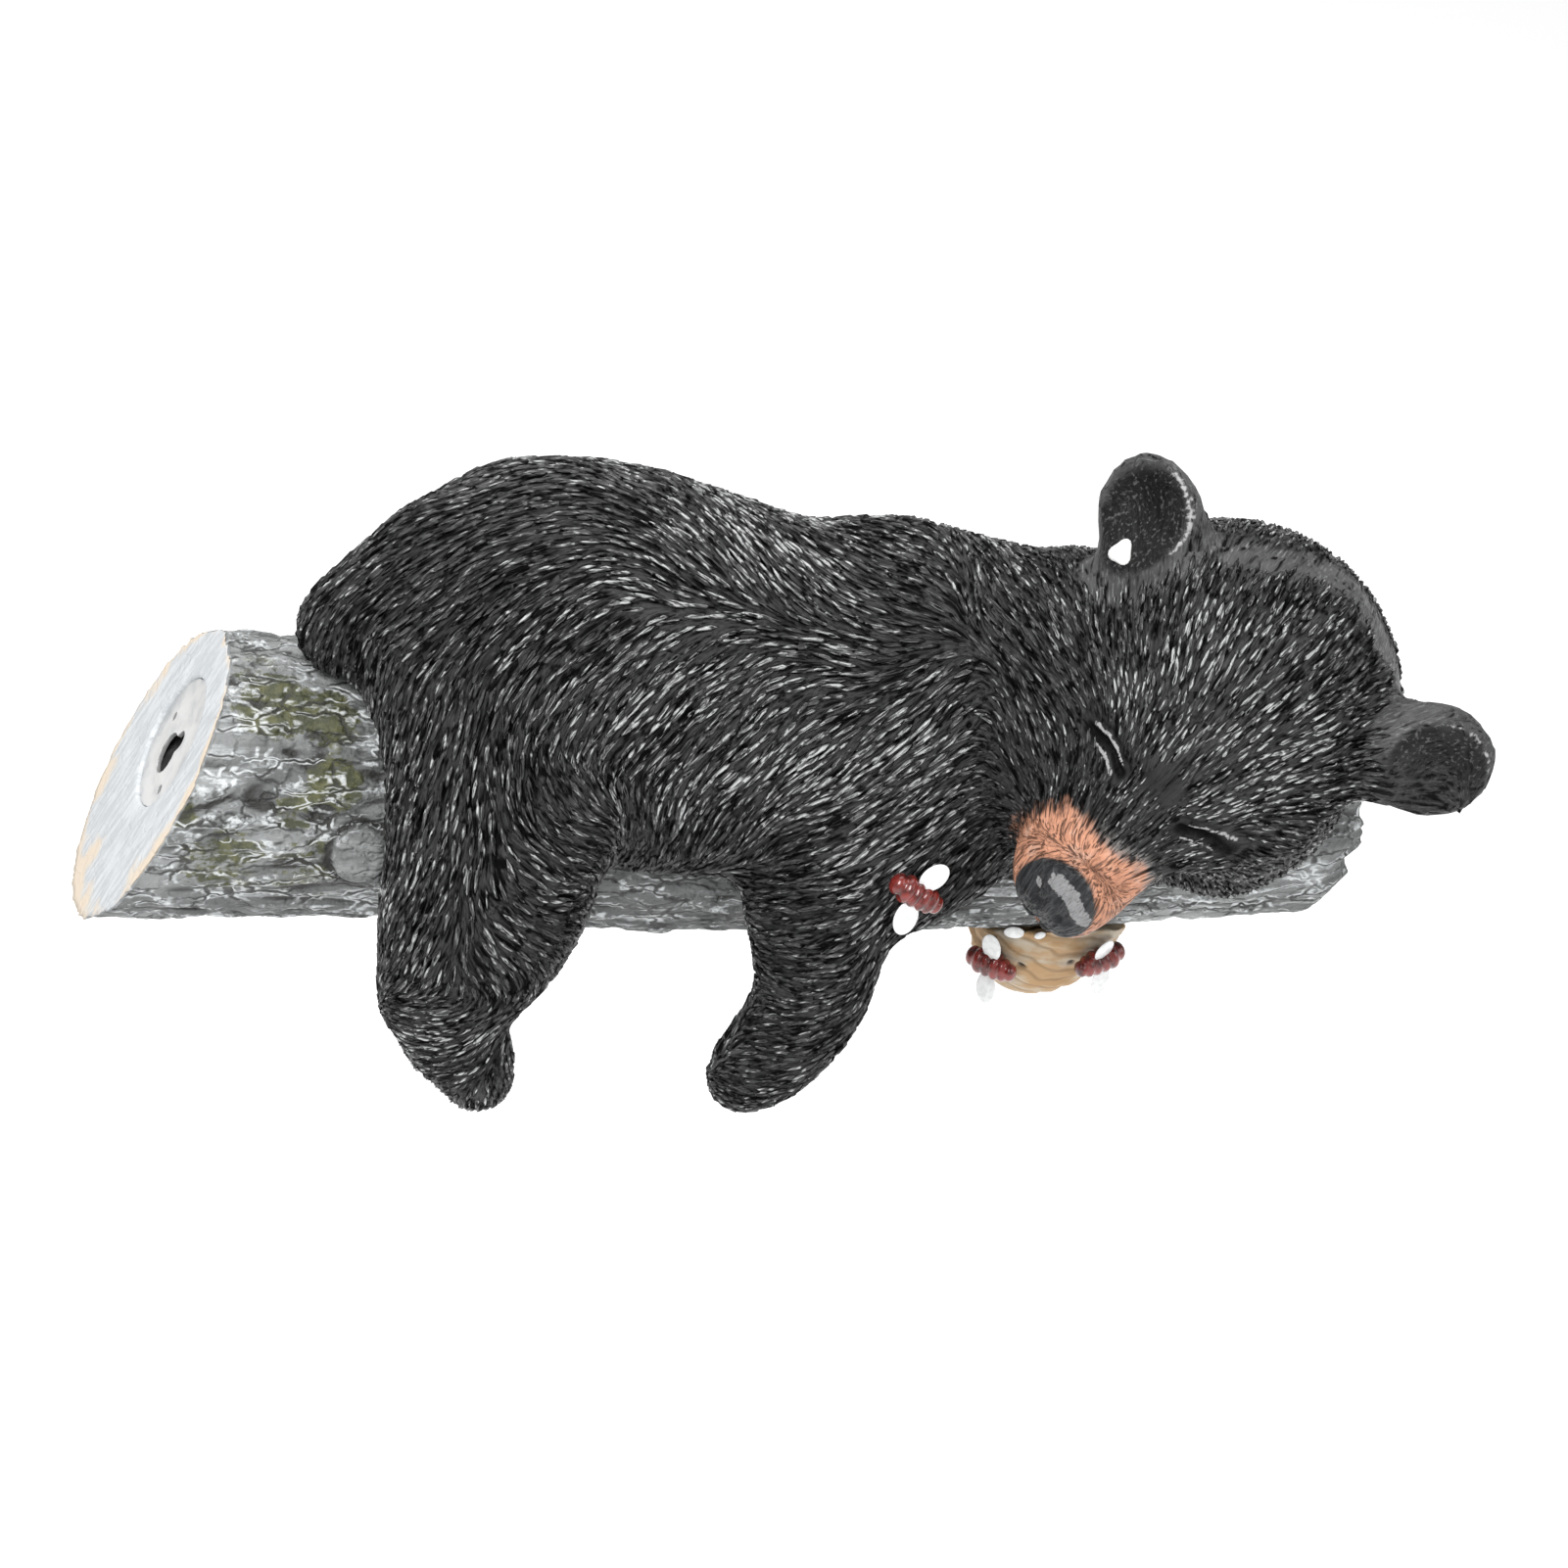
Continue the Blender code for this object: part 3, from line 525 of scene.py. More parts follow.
cream = plus(mask_of(shader, "rim"), times(noise_of(places, 0.012, 3), 1.6))
face = mixed(between(cream, 1.52, 1.80), face, SAWN_CREAM)
# Painted shade: the pocket behind the plate is painted near black.
face = mixed(mask_of(shader, "pocket"), face, POCKET_SHADE)
colour = mixed(mask_of(shader, "sawn"), grey, face)
bark_relief = plus(plus(speckle, streaks), times(between(chip_edge, 0.0, 0.13), chip_seen, 0.9))
off_sawn = rest_of(times(mask_of(shader, "sawn"), 0.8))
lay_paint(shader, colour, times(bark_relief, off_sawn), 0.0007)
log.data.materials.append(bark_paint)
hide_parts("log")
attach(log, "root")

# The hanger plate. A round steel pressing with a keyhole for the screw's head and two nail holes, let
# into the sawn face and nailed there.
PLATE_EDGE = 0.00016
STEEL = (0.74, 0.74, 0.73)
STEEL_DARK = (0.55, 0.56, 0.57)


def choose(piece):
    """Leaves this piece alone selected, and active."""
    deselect()
    piece.select_set(True)
    bpy.context.view_layer.objects.active = piece


def placed(name, mesh):
    made = bpy.data.objects.new(name, mesh)
    bpy.context.scene.collection.objects.link(made)
    choose(made)
    return made


def copy_of(node, name):
    """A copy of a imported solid, with its loose triangles merged and its material off."""
    made = placed(name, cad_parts[node].data.copy())
    made.data.materials.clear()
    edit_all((bpy.ops.mesh.remove_doubles, MERGED))
    return made


def apply_modifier(piece, kind, **settings):
    modifier = piece.modifiers.new(kind.title(), kind)
    for name, value in settings.items():
        setattr(modifier, name, value)
    bpy.ops.object.modifier_apply(modifier=modifier.name)


plate = copy_of("keyhole_plate", "hanger")
edit_all((bpy.ops.mesh.dissolve_limited, {"angle_limit": math.radians(1)}))
apply_modifier(plate, "BEVEL", width=PLATE_EDGE, segments=3, angle_limit=math.radians(40))
bpy.ops.object.shade_smooth_by_angle(angle=math.radians(35))
steel, shader, places = new_paint("brushed steel", 0.36)
shader.inputs["Metallic"].default_value = 0.7
scratches = noise_of(places, 0.0009, 4, (1, 9, 1), 0.7)
dull = noise_of(places, 0.005, 4)
lay_paint(shader, mixed(between(dull, 0.4, 0.75), STEEL, STEEL_DARK), scratches, 0.00005)
plate.data.materials.append(steel)
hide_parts("keyhole_plate")
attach(plate, "root")

# The cub. One hollow casting in resin, with the coat tooled as raised strokes, painted black, dry-brushed
# in light grey where the strokes stand proud, and with a tan muzzle. It lies along the log and is glued on.
SKIN_GRAIN = 0.0023
SKIN_SOFTENING = 7
HEAD_CENTRE = (218.5, -32, 38)
HEAD_AZIMUTH = math.radians(-131.4)
HEAD_DIP = math.radians(-10.7)
HEAD_TILT = math.radians(-27.9)
# Marks on the head, as lines of places in millimetres forward, left and up from its centre. A groove has its
# half width and its depth after it, and a ridge a depth below nothing. Those with a side are mirrored.
NOSE_TIP = (51.5, 0, -9.5)
NOSE_PAD = ((57, -0.5, -12.2), (11, 9.0, 10))
PAD_STEP = 0.5
NOSTRIL = (((59.5, 3.0, -12.6), (59.4, 3.0, -12.6)), 2.0, 1.3)
UPPER_LID = (((37.8, 9.2, 11.2), (36.4, 12, 12.4), (34.6, 15.2, 12.2), (32.8, 18.5, 10.2)), 1.3, -0.5)
LOWER_LID = (((37.8, 9.4, 8.2), (36.2, 13, 9.2), (34.4, 16, 8.4)), 1.2, -0.45)
EYE_SLIT = (((38, 8.2, 9.7), (36.3, 11.5, 10.9), (35.3, 14.5, 11.0), (32, 19, 7.9)), 1.1, 1.1)
EYE_CORNER = (((39, 6.2, 12.5), (38.9, 6.2, 12.5)), 5.5, 1.3)
BROW = (((31, 13, 21), (30.9, 13, 21)), 11, -0.7)
MOUTH_LINE = (((57, 1.5, -19.5), (52, 8.5, -20), (43, 15, -17)), 1.6, 1.3)
LIP_LINE = (((60, 0, -15), (58, 0, -18.5), (54, 0, -23)), 1.5, 1.2)
MUZZLE_MIDDLE = (45, 0, -12)
BRIDGE_PLAIN = ((38, -1, 15), (7, 6, 4.5))
NOSE_PATCH = (((57.5, -2.8, -6.0), (57.2, 2.5, -6.6), (56.6, 6.6, -9.6)), 2.1)
NOSE_FLECK = (((57.6, -6.4, -8.6), (57.8, -5.0, -9.6)), 1.0)
# The fur of the brow ends in a low step along this line, with a bare band behind it.
FUR_LINE = (
    (1.5, -21, 36), (1, -15.3, 38.9), (-5, -9.8, 40.5), (-12, 0.5, 39.5), (-11, 8.7, 38.4), (-9, 18.4, 33.5),
)
BARE_BAND = 11
# The cheek's lower rim, in millimetres from the log's start, then how far it is drawn off the log, how near
# to the rim that begins and is whole, and which way it goes.
CHEEK_RIM = ((204, -61, 8), (217, -59, 6), (226, -58, 9), (236, -54, 13), (243, -51, 20))
CHEEK_DRAWN = 9
CHEEK_REACH = (22, 6)
CHEEK_WAY = (-0.02, 0.5, 0.84)
# How far the back sinks behind the shoulders, by the place along the log, and how far the far ear droops.
BACK_SINKS = (
    (88, 0), (105, 1.5), (113, 3.5), (131, 6.4), (147, 2.4), (158, -1.5), (168, 1.0), (182, 4.0), (200, 0),
)
FAR_EAR_DROOP = 3.2
# How far each ear is drawn out in its own frame, and the places of the ears on the head.
EARS_DRAWN = ((-1, (0, -2.8, 0)), (1, (0, 0, 2.4)))
NEAR_EAR = (-6.2, -38.5, 24.5)
FAR_EAR = (-8.5, 36.5, 26.5)
EAR_SPLAY = math.radians(28)
EAR_LIFT = math.radians(18)


def turned_frame(centre, azimuth, dip, tilt):
    """A frame at the centre whose X looks along the azimuth and dip, rolled about it by the tilt."""
    forward = Vector((math.cos(azimuth) * math.cos(dip), math.sin(azimuth) * math.cos(dip), math.sin(dip)))
    left = Vector((0, 0, 1)).cross(forward).normalized()
    left.rotate(Matrix.Rotation(tilt, 3, forward))
    up = forward.cross(left)
    made = Matrix((forward, left, up)).transposed().to_4x4()
    made.translation = centre
    return made


body = Matrix.Translation(LOG_START) @ Matrix.Scale(MM, 4)
head = body @ turned_frame(HEAD_CENTRE, HEAD_AZIMUTH, HEAD_DIP, HEAD_TILT)


def in_frame(place, points):
    """The points as the frame of this place has them."""
    back = np.array(place.inverted())
    return points @ back[:3, :3].T + back[:3, 3]


def off_line(points, corners):
    """Each point's distance from the line through the corners."""
    nearest = np.full(len(points), np.inf)
    for start, end in zip(corners[:-1], corners[1:]):
        start = np.array(start, float)
        run = np.array(end, float) - start
        along = np.clip((points - start) @ run / (run @ run), 0, 1)
        nearest = np.minimum(nearest, lengths_of(points - start - along[:, None] * run))
    return nearest


def off_mark(points, corners):
    """Each point's distance from the line, as seen from straight before the face."""
    flat = off_line(points * (0, 1, 1), np.array(corners) * (0, 1, 1))
    return np.where(points[:, 0] > 22, flat, np.inf)


def mirrored(line, side):
    return [(forward, left * side, up) for forward, left, up in line]


def ear_frame(side):
    """The frame of an ear: X out of its cup, which is turned outwards and up."""
    centre = FAR_EAR if side > 0 else NEAR_EAR
    turn = Matrix.Rotation(side * EAR_SPLAY, 4, "Z") @ Matrix.Rotation(-EAR_LIFT, 4, "Y")
    return head @ Matrix.Translation(centre) @ turn


def even_skin(piece, grain, passes):
    """Gives the piece one closed skin of this grain, and softens it."""
    apply_modifier(piece, "REMESH", mode="VOXEL", voxel_size=grain)
    apply_modifier(piece, "SMOOTH", factor=0.5, iterations=passes)


cub = copy_of("bear", "bear_cub")
even_skin(cub, SKIN_GRAIN, SKIN_SOFTENING)

# The face and the ears' rims are cut finer before they are carved, and the eyes and the nose finer still.
for finer in range(2):
    skin = points_of(cub.data)
    on_head = in_frame(head, skin)
    if finer:
        off_eyes = np.minimum(*(off_line(on_head, mirrored(EYE_SLIT[0], side)) for side in (-1, 1)))
        cut = (off_eyes < 5) | (lengths_of(on_head - NOSE_PAD[0]) < 11)
    else:
        cut = (on_head[:, 0] > 27) & (np.abs(on_head[:, 1]) < 24) & (np.abs(on_head[:, 2] + 2) < 22)
        for side in (-1, 1):
            on_ear = in_frame(ear_frame(side), skin)
            on_rim = np.abs(np.hypot(on_ear[:, 1], on_ear[:, 2]) - 13.5) < 4
            cut |= on_rim & (on_ear[:, 0] > -2) & (on_ear[:, 0] < 10) & (on_ear[:, 2] > -3)
    cut &= lengths_of(on_head) < 72
    for polygon in cub.data.polygons:
        polygon.select = bool(all(cut[index] for index in polygon.vertices))
    bpy.ops.object.mode_set(mode="EDIT")
    bpy.ops.mesh.select_mode(type="FACE")
    bpy.ops.mesh.subdivide(number_cuts=1)
    bpy.ops.object.mode_set(mode="OBJECT")
skin = points_of(cub.data)
# The cheek's rim clears the log, and the ears are drawn out to their full width.
cheek_share = ease(off_line(from_start(skin), CHEEK_RIM), *CHEEK_REACH)
skin += np.outer(cheek_share, CHEEK_WAY) * CHEEK_DRAWN * MM
on_log = from_start(skin)
sink_places, sinks = zip(*BACK_SINKS)
sunk = sum(np.interp(on_log[:, 0] + step, sink_places, sinks) for step in (-5, -2.5, 0, 2.5, 5)) / 5
sunk *= ease(on_log[:, 2], 38, 60) * ease(lengths_of(in_frame(head, skin)), 44, 56)
skin[:, 2] -= sunk * MM
for side, stretch in EARS_DRAWN:
    place = ear_frame(side)
    on_ear = in_frame(place, skin)
    reach = on_ear @ np.array(stretch) / np.linalg.norm(stretch)
    drawn = ease(reach, 2, 12) * ease(np.hypot(on_ear[:, 1], on_ear[:, 2]), 22, 18)
    drawn *= ease(np.abs(on_ear[:, 0]), 12, 8)
    skin += np.outer(drawn, place.to_3x3() @ Vector(stretch))
on_ear = in_frame(ear_frame(1), skin)
off_head = lengths_of(in_frame(head, skin))
droop = ease(off_head, 38, 62) * ease(lengths_of(on_ear), 26, 18)
skin -= np.outer(droop, turned.col[1]) * FAR_EAR_DROOP * MM
move_points(cub.data, skin)
outward = points_of(cub.data, "normal")
on_head = in_frame(head, skin)


def carve(line, half_width, depth):
    """Presses a groove along a line of the head, or raises a ridge where the depth is negative."""
    share = np.clip(1 - (off_line(on_head, line) / half_width) ** 2, 0, 1) ** 2
    skin[:] -= outward * (depth * MM * share)[:, None]


for side in (-1, 1):
    for line, half_width, depth in (UPPER_LID, LOWER_LID, EYE_SLIT, MOUTH_LINE, EYE_CORNER, BROW, NOSTRIL):
        carve(mirrored(line, side), half_width, depth)
carve(*LIP_LINE)
carve(FUR_LINE, 2.2, -0.7)
# The nose pad stands proud of the muzzle, with a step at its edge.
pad_centre, pad_radii = NOSE_PAD
pad_off = lengths_of((on_head - pad_centre) / pad_radii)
pad = ease(pad_off, 1.08, 0.92) * (on_head[:, 0] > 48)
skin += outward * (PAD_STEP * MM * pad)[:, None]
move_points(cub.data, skin)

# The paint's masks on the skin. Light paint is dragged over the flank, shoulder, thigh and brow.
FLECKED = (
    ((118, 48), 30, 1.0), ((150, 30), 22, 1.0), ((150, 12), 15, 0.9), ((88, 52), 24, 0.85),
    ((78, 12), 13, 0.7), ((63, -24), 12, 0.75), ((60, -42), 14, 0.6), ((60, 5), 18, 0.75),
    ((58, 30), 16, 0.6), ((96, 74), 26, 0.5), ((170, 62), 18, 0.6), ((133, -38), 12, 0.6),
    ((138, -12), 14, 0.5), ((165, 58), 18, 0.5), ((50, 50), 16, 0.5),
)


def flecks_at(points):
    """How thickly the light paint lies at each point, from 0 to 1."""
    where = from_start(points)
    local = in_frame(head, points)
    thick = np.full(len(points), 0.42) * ease(np.abs(where[:, 0] - 104) + np.abs(where[:, 2] - 8), 14, 26)
    thick = np.maximum(thick, 0.05)
    for (x, z), radius, strength in FLECKED:
        off = np.hypot(where[:, 0] - x, where[:, 2] - z)
        thick = np.maximum(thick, strength * ease(off, radius * 1.6, radius * 0.5))
    brow = ease(lengths_of(local - (26, 2, 28)), 36, 14)
    share = ease(lengths_of(local), 60, 48)
    thick = thick * (1 - share) + share * (0.52 + 0.5 * brow)
    clumps = np.array([noise.noise(Vector(point) * 0.10) for point in where.tolist()])
    return np.clip(thick * (0.85 + 0.6 * clumps), 0, 1)


outward = points_of(cub.data, "normal")
on_head = in_frame(head, skin)
cups, ear_faces, ear_rim_highlights, eyes, lids, nostrils = (np.zeros(len(skin)) for _ in range(6))
for side in (-1, 1):
    on_ear = in_frame(ear_frame(side), skin)
    across_ear = np.hypot(on_ear[:, 1], on_ear[:, 2])
    in_front = ease(on_ear[:, 0], -5, -2) * ease(np.abs(on_ear[:, 0]), 13, 11)
    furred = 0.75 * ease(on_ear[:, 2], 4, -3) if side > 0 else 0
    ear_faces = np.maximum(ear_faces, in_front * ease(across_ear, 18.5, 16.5) * (1 - furred))
    # A painted highlight: a thin pale line along the inner edge of each ear's rim, on its upper part only.
    lit = ease(on_ear[:, 2], 0, 6) * np.clip(1 - np.abs(across_ear - 11.6) / 1.5, 0, 1)
    lit *= 0.66 if side < 0 else 0.56
    ear_rim_highlights = np.maximum(ear_rim_highlights, in_front * lit * ease(on_ear[:, 1], -9, -3))
    inside = ease(across_ear, 12.2, 10.4) * (1 - furred)
    cups = np.maximum(cups, inside * ease(on_ear[:, 0], -2.5, -0.5) * (np.abs(on_ear[:, 0]) < 12))
ragged = np.array([noise.noise(Vector(point) * 0.45) for point in on_head])
muzzle = ease(on_head[:, 0] + ragged * 2.2, 40.5, 50)
muzzle *= ease(lengths_of(on_head - MUZZLE_MIDDLE), 20.5, 17.5)
muzzle *= ease(on_head[:, 2], 5, 0) * ease(on_head[:, 2], -34, -28)
faded = muzzle * (1 - muzzle) * 4 * ease(on_head[:, 1], -9, 2)
hollow = 0.7 * ease(lengths_of((on_head - BRIDGE_PLAIN[0]) / BRIDGE_PLAIN[1]), 1.2, 0.6)
line_at = np.interp(on_head[:, 1], [point[1] for point in FUR_LINE], [point[0] for point in FUR_LINE])
past_line = line_at - on_head[:, 0]
band = ease(past_line, -0.5, 1.0) * ease(past_line, BARE_BAND + 2, BARE_BAND)
band *= ease(on_head[:, 2], 20, 26) * ease(np.abs(on_head[:, 1]), 25, 21)
calm = np.maximum(hollow, 0.85 * np.maximum(band, ear_faces))
for side, strength in ((-1, 0.95), (1, 0.72)):
    off_slit = off_mark(on_head, mirrored(EYE_SLIT[0], side))
    eyes = np.maximum(eyes, ease(off_slit, 1.7, 0.5))
    calm = np.maximum(calm, ease(off_slit, 3.0, 2.0))
    for lid in (UPPER_LID, LOWER_LID):
        off_lid = off_mark(on_head, mirrored(lid[0], side))
        lids = np.maximum(lids, strength * np.clip(1 - off_lid / 0.9, 0, 1))
    nostrils = np.maximum(nostrils, ease(lengths_of(on_head - mirrored(NOSTRIL[0], side)[0]), 2.2, 1.2))
plain = np.maximum(pad, band)
bare = np.maximum(plain, np.maximum(cups, ear_faces))
line, width = NOSE_PATCH
rubbed = ease(off_line(on_head, line), width * 1.5, width * 0.3)
line, width = NOSE_FLECK
rubbed = np.maximum(rubbed, 0.8 * ease(off_line(on_head, line), width, width * 0.5))
masks = {
    # Low crest gets the painted shade of the grooves, and the eye slits and nostrils, at nought, get the
    # most.
    "crest": (0.25 + 0.4 * np.maximum(plain, ear_faces * (1 - cups))) * (1 - np.maximum(eyes, nostrils)),
    "fleck": flecks_at(skin),
    "faded": faded,
    "rubbed": rubbed * pad,
    "calm": calm,
    # The lid mask holds the pale paint of the lids and the painted highlight along the ears' rims.
    "lid": np.maximum(lids * (1 - ease(eyes, 0.55, 0.9)), ear_rim_highlights),
    "muzzle": muzzle * (1 - pad),
    "nose": pad,
    "cup": cups,
}
for name, values in masks.items():
    paint_mask(cub.data, name, values)

# The coat. Guides give the way that it lies: a place along the log and above it, in millimetres, and how
# far the fur leans there from straight back, 0, by straight down, 90, to straight forward, 180 degrees.
COAT_GUIDES = (
    (40, 40, 80), (48, 54, 40), (50, 30, 95), (70, 76, 25), (100, 77, 22), (130, 73, 22), (160, 68, 28),
    (64, 60, 62), (85, 60, 50), (110, 58, 45), (135, 55, 45), (158, 52, 55), (60, 42, 86), (78, 45, 72),
    (95, 42, 55), (115, 38, 52), (135, 38, 42), (155, 35, 40), (70, 32, 100), (80, 28, 128), (86, 18, 165),
    (74, 15, 142), (62, 15, 96), (50, 8, 85), (72, 0, 146), (80, 5, 168), (66, -8, 122), (55, -5, 78),
    (95, 20, 96), (106, 12, 84), (118, 16, 74), (98, 5, 82), (135, 22, 30), (150, 20, 35), (165, 22, 48),
    (128, 5, 10), (140, 5, 16), (153, 5, 52), (130, -12, 6), (140, -12, 16), (150, -12, 56),
    (128, -28, 6), (138, -28, 24), (120, -42, 4), (130, -42, 14), (58, -22, 8), (68, -24, 42),
    (62, -34, 22), (59, -48, 62), (67, -50, 94), (75, -44, 118), (165, 62, 84), (174, 46, 82), (178, 24, 62),
)
HEAD_REACH = (60, 48)
FUR_WHORL = (42, 0, 14)
STROKE_LENGTH = 8.2
STROKE_WIDTH = 1.65
STROKE_HEIGHT = 0.85
STROKE_ROOM = (3.9, 1.16)
STROKE_TRIES = 90000
COAT_SEED = 11
# A stroke's sections: how far along it, how wide and how high as shares, with a point at each end.
SECTIONS = ((0.0, 0.0, -0.3), (0.32, 1.0, 1.0), (0.70, 0.80, 0.80), (1.0, 0.0, -0.2))
STROKE_SINK = 0.15


def laid_along(ways, normals):
    """The ways turned flat against the skin that has these normals, and made one long."""
    flat = ways - normals * np.einsum("ij,ij->i", ways, normals)[:, None]
    return flat / np.maximum(lengths_of(flat), 1e-9)[:, None]


def coat_flow(points, normals):
    """Which way the coat lies at each point, along the skin."""
    where = from_start(points)
    guides = np.array(COAT_GUIDES, float)
    near = (where[:, None, 0] - guides[None, :, 0]) ** 2 + (where[:, None, 2] - guides[None, :, 1]) ** 2
    weights = 1 / (near + 6) ** 2
    weights /= weights.sum(1, keepdims=True)
    leans = np.radians(guides[:, 2])
    back = weights @ np.cos(leans)
    down = weights @ np.sin(leans)
    on_body = np.outer(back + 0.2 * np.abs(normals[:, 2]), (-1, 0, 0)) + np.outer(down, (0, 0, -1))
    on_top = ease(normals[:, 2], 0.58, 0.86) * ease(where[:, 0], 78, 104)
    on_body += np.outer(on_top, (0, 1.0, 0))
    local = in_frame(head, points)
    from_nose = ease(local[:, 0], 26, 40)[:, None]
    away = local - np.array(NOSE_TIP) * from_nose - np.array(FUR_WHORL) * (1 - from_nose)
    away = away @ np.array(head.to_3x3().normalized()).T
    away /= lengths_of(away)[:, None]
    share = ease(lengths_of(local), *HEAD_REACH)[:, None]
    return laid_along(on_body * (1 - share) + away * share, normals)


def lay_flow(mesh, ways):
    """Keeps the way that the coat lies at each point, for the fine hair of the paint."""
    kept_ways = mesh.attributes.new("flow", "FLOAT_VECTOR", "POINT")
    kept_ways.data.foreach_set("vector", np.asarray(ways, np.float32).ravel())


def triangles_of(mesh):
    mesh.calc_loop_triangles()
    corners = np.empty(len(mesh.loop_triangles) * 3, np.int32)
    mesh.loop_triangles.foreach_get("vertices", corners)
    return corners.reshape(-1, 3)


corners = triangles_of(cub.data)
flow = coat_flow(skin, outward)
edges_a = skin[corners[:, 1]] - skin[corners[:, 0]]
edges_b = skin[corners[:, 2]] - skin[corners[:, 0]]
areas = lengths_of(np.cross(edges_a, edges_b)) / 2
chance = np.random.default_rng(COAT_SEED)
picked = chance.choice(len(corners), STROKE_TRIES, p=areas / areas.sum())
spots = chance.random((STROKE_TRIES, 2))
folded = spots.sum(1) > 1
spots[folded] = 1 - spots[folded]
parts = np.stack((1 - spots.sum(1), spots[:, 0], spots[:, 1]), 1)


def spread(values):
    """A value of the skin's points at each spot that was picked."""
    return np.einsum("ij,ij...->i...", parts, values[corners[picked]])


roots = spread(skin)
facing = spread(outward)
facing /= lengths_of(facing)[:, None]
lie = laid_along(spread(flow), facing)
root_head = in_frame(head, roots)
root_log = from_start(roots)
root_muzzle = spread(masks["muzzle"])
root_bare = spread(bare)
head_share = ease(lengths_of(root_head), *HEAD_REACH)
# Strokes are shorter on the legs and the head, and finest on the muzzle.
scale = 1 - 0.28 * ease(root_log[:, 2], 2, -14) * (1 - head_share)
scale -= 0.22 * head_share + 0.30 * head_share * ease(root_head[:, 0], 20, 42)
scale -= 0.35 * ease(lengths_of(root_head - MUZZLE_MIDDLE), 28, 18)
across_scale = np.clip(scale * 1.15, 0.45, 1)
scale = np.clip(scale, 0.3, 1)
girth = log_radius((roots[:, 0] - LOG_START.x) / LOG_LENGTH) + BARK_DEPTH
under = np.hypot(roots[:, 1] - LOG_START.y, roots[:, 2] - LOG_START.z) < girth + 0.0009
wanted = (root_bare < 0.25) & (spread(pad) < 0.05) & ~under & (root_muzzle < 0.35) & (spread(calm) < 0.5)
for side in (-1, 1):
    wanted &= off_line(root_head, mirrored(EYE_SLIT[0], side)) > 1.5
kept = []
cells = {}
cell_size = STROKE_ROOM[0] * MM
around = [(i, j, k) for i in (-1, 0, 1) for j in (-1, 0, 1) for k in (-1, 0, 1)]


def has_room(spot, way, reach, width, home):
    """Whether no root that is kept lies in the long oval round this spot."""
    for i, j, k in around:
        for other in cells.get((home[0] + i, home[1] + j, home[2] + k), ()):
            dx, dy, dz = other[0] - spot[0], other[1] - spot[1], other[2] - spot[2]
            whole = dx * dx + dy * dy + dz * dz
            if whole > reach * reach:
                continue
            run = dx * way[0] + dy * way[1] + dz * way[2]
            if run * run / (reach * reach) + (whole - run * run) / (width * width) < 1:
                return False
    return True


for index in np.nonzero(wanted)[0]:
    spot = roots[index].tolist()
    reach = STROKE_ROOM[0] * MM * scale[index]
    width = STROKE_ROOM[1] * MM * across_scale[index]
    home = tuple(int(part // cell_size) for part in spot)
    if has_room(spot, lie[index].tolist(), reach, width, home):
        kept.append(index)
        cells.setdefault(home, []).append(spot)
kept = np.array(kept)

tree_of_skin = BVHTree.FromPolygons(skin.tolist(), corners.tolist())
corner_normals = outward[corners].mean(1)
corner_normals /= lengths_of(corner_normals)[:, None]
corner_flow = flow[corners].mean(1)
count = len(kept)
lengths = STROKE_LENGTH * MM * scale[kept] * chance.uniform(0.8, 1.2, count)
widths = STROKE_WIDTH / 2 * MM * across_scale[kept] * chance.uniform(0.85, 1.15, count)
tops = STROKE_HEIGHT * MM * np.clip(across_scale[kept], 0.4, 1) * chance.uniform(0.8, 1.2, count)
tops *= 1 - 0.35 * root_muzzle[kept]
sway = chance.uniform(-0.16, 0.16, count)
at = roots[kept]
way = root_way = lie[kept]
section_points = []
section_tan = []
travelled = 0.0
for along, wide, high in SECTIONS:
    at = at + way * (lengths * (along - travelled))[:, None]
    travelled = along
    landed = [tree_of_skin.find_nearest(point) for point in at.tolist()]
    at = np.array([tuple(found[0]) for found in landed])
    faces_hit = np.array([found[2] for found in landed])
    normal = corner_normals[faces_hit]
    section_tan.append(masks["muzzle"][corners[faces_hit]].mean(1))
    way = corner_flow[faces_hit]
    way = laid_along(way + np.cross(normal, way) * sway[:, None], normal)
    across = np.cross(normal, way)
    if wide == 0:
        section_points.append((at + normal * (high * MM * 0.5),))
        continue
    low = at - normal * STROKE_SINK * MM
    reach_out = across * (widths * wide)[:, None]
    section_points.append((low - reach_out, at + normal * (tops * high)[:, None], low + reach_out))
stroke_points = np.stack([line for section in section_points for line in section], 1)
STROKE_FACES = (
    (0, 1, 2), (0, 2, 3), (0, 3, 1), (1, 4, 5, 2), (2, 5, 6, 3), (3, 6, 4, 1),
    (4, 7, 5), (5, 7, 6), (4, 6, 7),
)
# How near each point of a stroke is to its crest: the low points get the painted shade of the grooves.
ON_CREST = np.array((0.0, 0.0, 1.0, 0.0, 0.0, 0.85, 0.0, 0.3))
faces = [
    tuple(base + corner for corner in face)
    for base in range(0, count * len(ON_CREST), len(ON_CREST))
    for face in STROKE_FACES
]
coat_mesh = bpy.data.meshes.new("coat")
coat_mesh.from_pydata(stroke_points.reshape(-1, 3).tolist(), [], faces)
coat_mesh.shade_smooth()
coat = placed("coat", coat_mesh)

flecked = np.clip(flecks_at(roots[kept]) * chance.uniform(0.75, 1.2, count), 0, 1)
per_point = len(ON_CREST)
stroke_masks = {
    "crest": np.tile(ON_CREST, count),
    "fleck": np.repeat(flecked, per_point),
    "muzzle": np.stack(section_tan, 1)[:, (0, 1, 1, 1, 2, 2, 2, 3)].ravel(),
    "faded": np.repeat(spread(faded)[kept], per_point),
}
for name in ("nose", "cup", "rubbed", "calm", "lid"):
    stroke_masks[name] = np.zeros(count * per_point)
for name, values in stroke_masks.items():
    paint_mask(coat.data, name, values)
lay_flow(cub.data, flow)
lay_flow(coat.data, np.repeat(root_way, per_point, 0))

